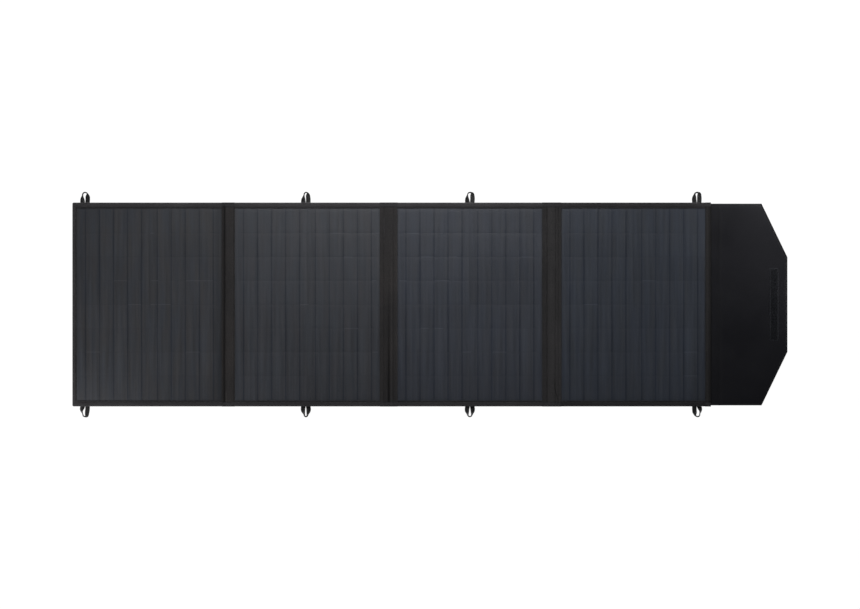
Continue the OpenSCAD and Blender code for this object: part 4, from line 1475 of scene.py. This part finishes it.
build_gusset()
build_lid()
build_zip()
build_slider()


# ---- control box ----

def build_port_cover():
    """A rubber strip with a raised rim, a hinge along it and a lip to lift it by."""
    (x0, y0, z0), (x1, y1, _) = box_mm("port_cover")
    hinge_z = joint_mm("port_cover_hinge")[2]
    shape = Shape()
    rings = []
    top = hinge_z - 0.5
    profile = ((0.5, y0 + 0.02), (0.1, y0 + 0.2), (0, y0 + 0.8), (0.1, y1 - 0.35), (0.7, y1 - 0.2),
               (1.4, y1 - 0.25), (1.8, y1 - 0.6), (3.0, y1 - 0.62))
    for inset, y in profile:
        ring = loop_points(x0 + inset, x1 - inset, z0 + inset, top - inset, max(1.8 - inset, 0.3), 40, 8, 5)
        rings.append(points_at(ring[:, 0], y, ring[:, 1]))
    shape.tube(np.array(rings))
    hinge = points_at(np.linspace(x0 + 2, x1 - 2, 30), (y0 + y1) / 2, hinge_z - 0.1)
    shape.tube(sweep(hinge, circle(12, 0.72), UP))
    waist = ((1, 0), (0.7, 0.5), (1, 1), (-1, 1), (-0.7, 0.5), (-1, 0))
    web = np.array([[(x, (y0 + y1) / 2 + 0.35 * s, hinge_z - 0.1 - 0.9 * t) for s, t in waist]
                    for x in np.linspace(x0 + 3, x1 - 3, 24)])
    shape.tube(web)
    lip = points_at(np.linspace(x0 + 34, x0 + 46, 10), y1 - 0.35, z0 + 1.2)
    shape.tube(sweep(lip, lozenge(1.4, 0.6, 4), (0, 1, 0)))
    obj = shape.make("socket_cover", [M["rubber"]])
    settle(obj, "port_cover", ["port_cover"])


# The screw head's rings: radius, height, and whether the cross recess cuts into it.
SCREW_HEAD = ((0.15, 1.0, 0), (0.5, 0.95, 1), (1.0, 0.7, 1), (1.3, 0.15, 1), (1.7, 0.12, 0),
              (2.1, 0.35, 0), (2.3, 0.8, 0), (2.3, 1.5, 0), (1.3, 1.6, 0))


def build_screws():
    """Four screws: domed heads with a cross recess, on threaded shanks."""
    (x0, y0, z0), (x1, y1, z1) = box_mm("box_screws")
    shape = Shape()
    head = 2.3
    turn = np.arange(24) * 2 * math.pi / 24
    for cx in (x0 + head, x1 - head):
        for cy in (y0 + head, y1 - head):
            rings = []
            dip = np.abs(np.cos(2 * turn)) ** 6
            for radius, z, cut in SCREW_HEAD:
                flat = np.full(len(turn), z) if not cut else np.where(dip > 0.35, z, 0.12)
                rings.append(points_at(cx + radius * np.cos(turn), cy + radius * np.sin(turn), z0 + flat))
            levels = np.linspace(1.7, z1 - z0, 56)
            for k, z in enumerate(levels):
                radius = 1.2 + (0.0 if k % 2 else -0.22)
                rings.append(points_at(cx + radius * np.cos(turn), cy + radius * np.sin(turn), z0 + z))
            shape.tube(np.array(rings))
    obj = shape.make("case_screws", [M["screw"]])
    settle(obj, "panel_4", ["box_screws"])


build_port_cover()
build_screws()


# ---- CAD parts that keep their own shape ----

KEPT = {
    "box_base": "plastic", "box_cover": "plastic", "circuit_board": "circuit", "usb_a_sockets": "steel",
    "usb_c_socket": "steel", "dc_outlet": "socket", "status_light": "lens", "spine_board": "stiffener",
    "flap_board": "stiffener",
}
for n in range(1, 5):
    KEPT[f"backing_board_{n}"] = "board"
    KEPT[f"solar_cells_{n}"] = "silicon"
for name, paint in KEPT.items():
    obj = nodes[name]
    obj.data.materials.clear()
    obj.data.materials.append(M[paint])
    if paint == "plastic":
        bevel = obj.modifiers.new("edge", "BEVEL")
        bevel.width = 0.35 * MM
        bevel.segments = 2
        bevel.limit_method = "ANGLE"


# ---- floor, light and world ----

FLOOR_HALF = 9000

floor_shape = Shape()
spread = np.linspace(-FLOOR_HALF, FLOOR_HALF, 13)
fx, fy = np.meshgrid(spread, spread, indexing="ij")
floor_shape.grid(np.stack([fx, fy, np.zeros(fx.shape)], 2))
floor_paint = Paint("floor", 1.0, Specular_IOR_Level=0.0, Emission_Strength=1.0)
floor_paint.shader.inputs["Base Color"].default_value = (0.04, 0.04, 0.04, 1)
floor_paint.shader.inputs["Emission Color"].default_value = (1, 1, 1, 1)
floor = floor_shape.make("floor", [floor_paint.mat], recalc=False)
face_up(floor)


def area_light(name, place, aim, size, power, spread):
    light = bpy.data.lights.new(name, "AREA")
    light.spread = math.radians(spread)
    light.shape = "RECTANGLE"
    light.size, light.size_y = size
    light.energy = power
    obj = bpy.data.objects.new(name, light)
    obj.location = place
    direction = np.array(place) - np.array(aim)
    obj.rotation_euler = Vector(direction).to_track_quat("Z", "Y").to_euler()
    obj.visible_camera = False
    bpy.context.scene.collection.objects.link(obj)


# Each light: its place, where it points, its size, its power, and how far its beam spreads in degrees.
LIGHTS = {
    "key": ((-0.06, 0.80, 0.96), (-0.06, 0, 0), (0.9, 0.3), 13.1, 180),
    "fill": ((-1.02, -0.54, 0.38), (-0.78, -0.18, 0), (0.3, 0.2), 3.0, 180),
    "flap_light": ((0.84, 0.44, 0.26), (0.76, 0.20, 0), (0.24, 0.08), 0.24, 62),
    "end_light": ((1.06, 0.06, 0.13), (0.80, 0.02, 0.02), (0.05, 0.25), 0.13, 70),
}
for name, values in LIGHTS.items():
    area_light(name, *values)

world = bpy.data.worlds.new("world")
world.use_nodes = True
bpy.context.scene.world = world
tree = world.node_tree
background = tree.nodes["Background"]
coordinate = tree.nodes.new("ShaderNodeTexCoord")
parts = tree.nodes.new("ShaderNodeSeparateXYZ")
ramp = tree.nodes.new("ShaderNodeValToRGB")
tree.links.new(coordinate.outputs["Generated"], parts.inputs[0])
tree.links.new(parts.outputs[2], ramp.inputs[0])
tree.links.new(ramp.outputs[0], background.inputs[0])
ends = ramp.color_ramp.elements
ends[0].position, ends[0].color = 0.0, (0.93, 0.93, 0.94, 1)
ends[1].position, ends[1].color = 1.0, (0.03, 0.031, 0.034, 1)
for at, level in ((0.12, 0.9), (0.32, 0.22)):
    ends.new(at).color = (level, level * 1.01, level * 1.03, 1)
background.inputs[1].default_value = 1.0

bpy.context.scene.view_settings.view_transform = "Standard"
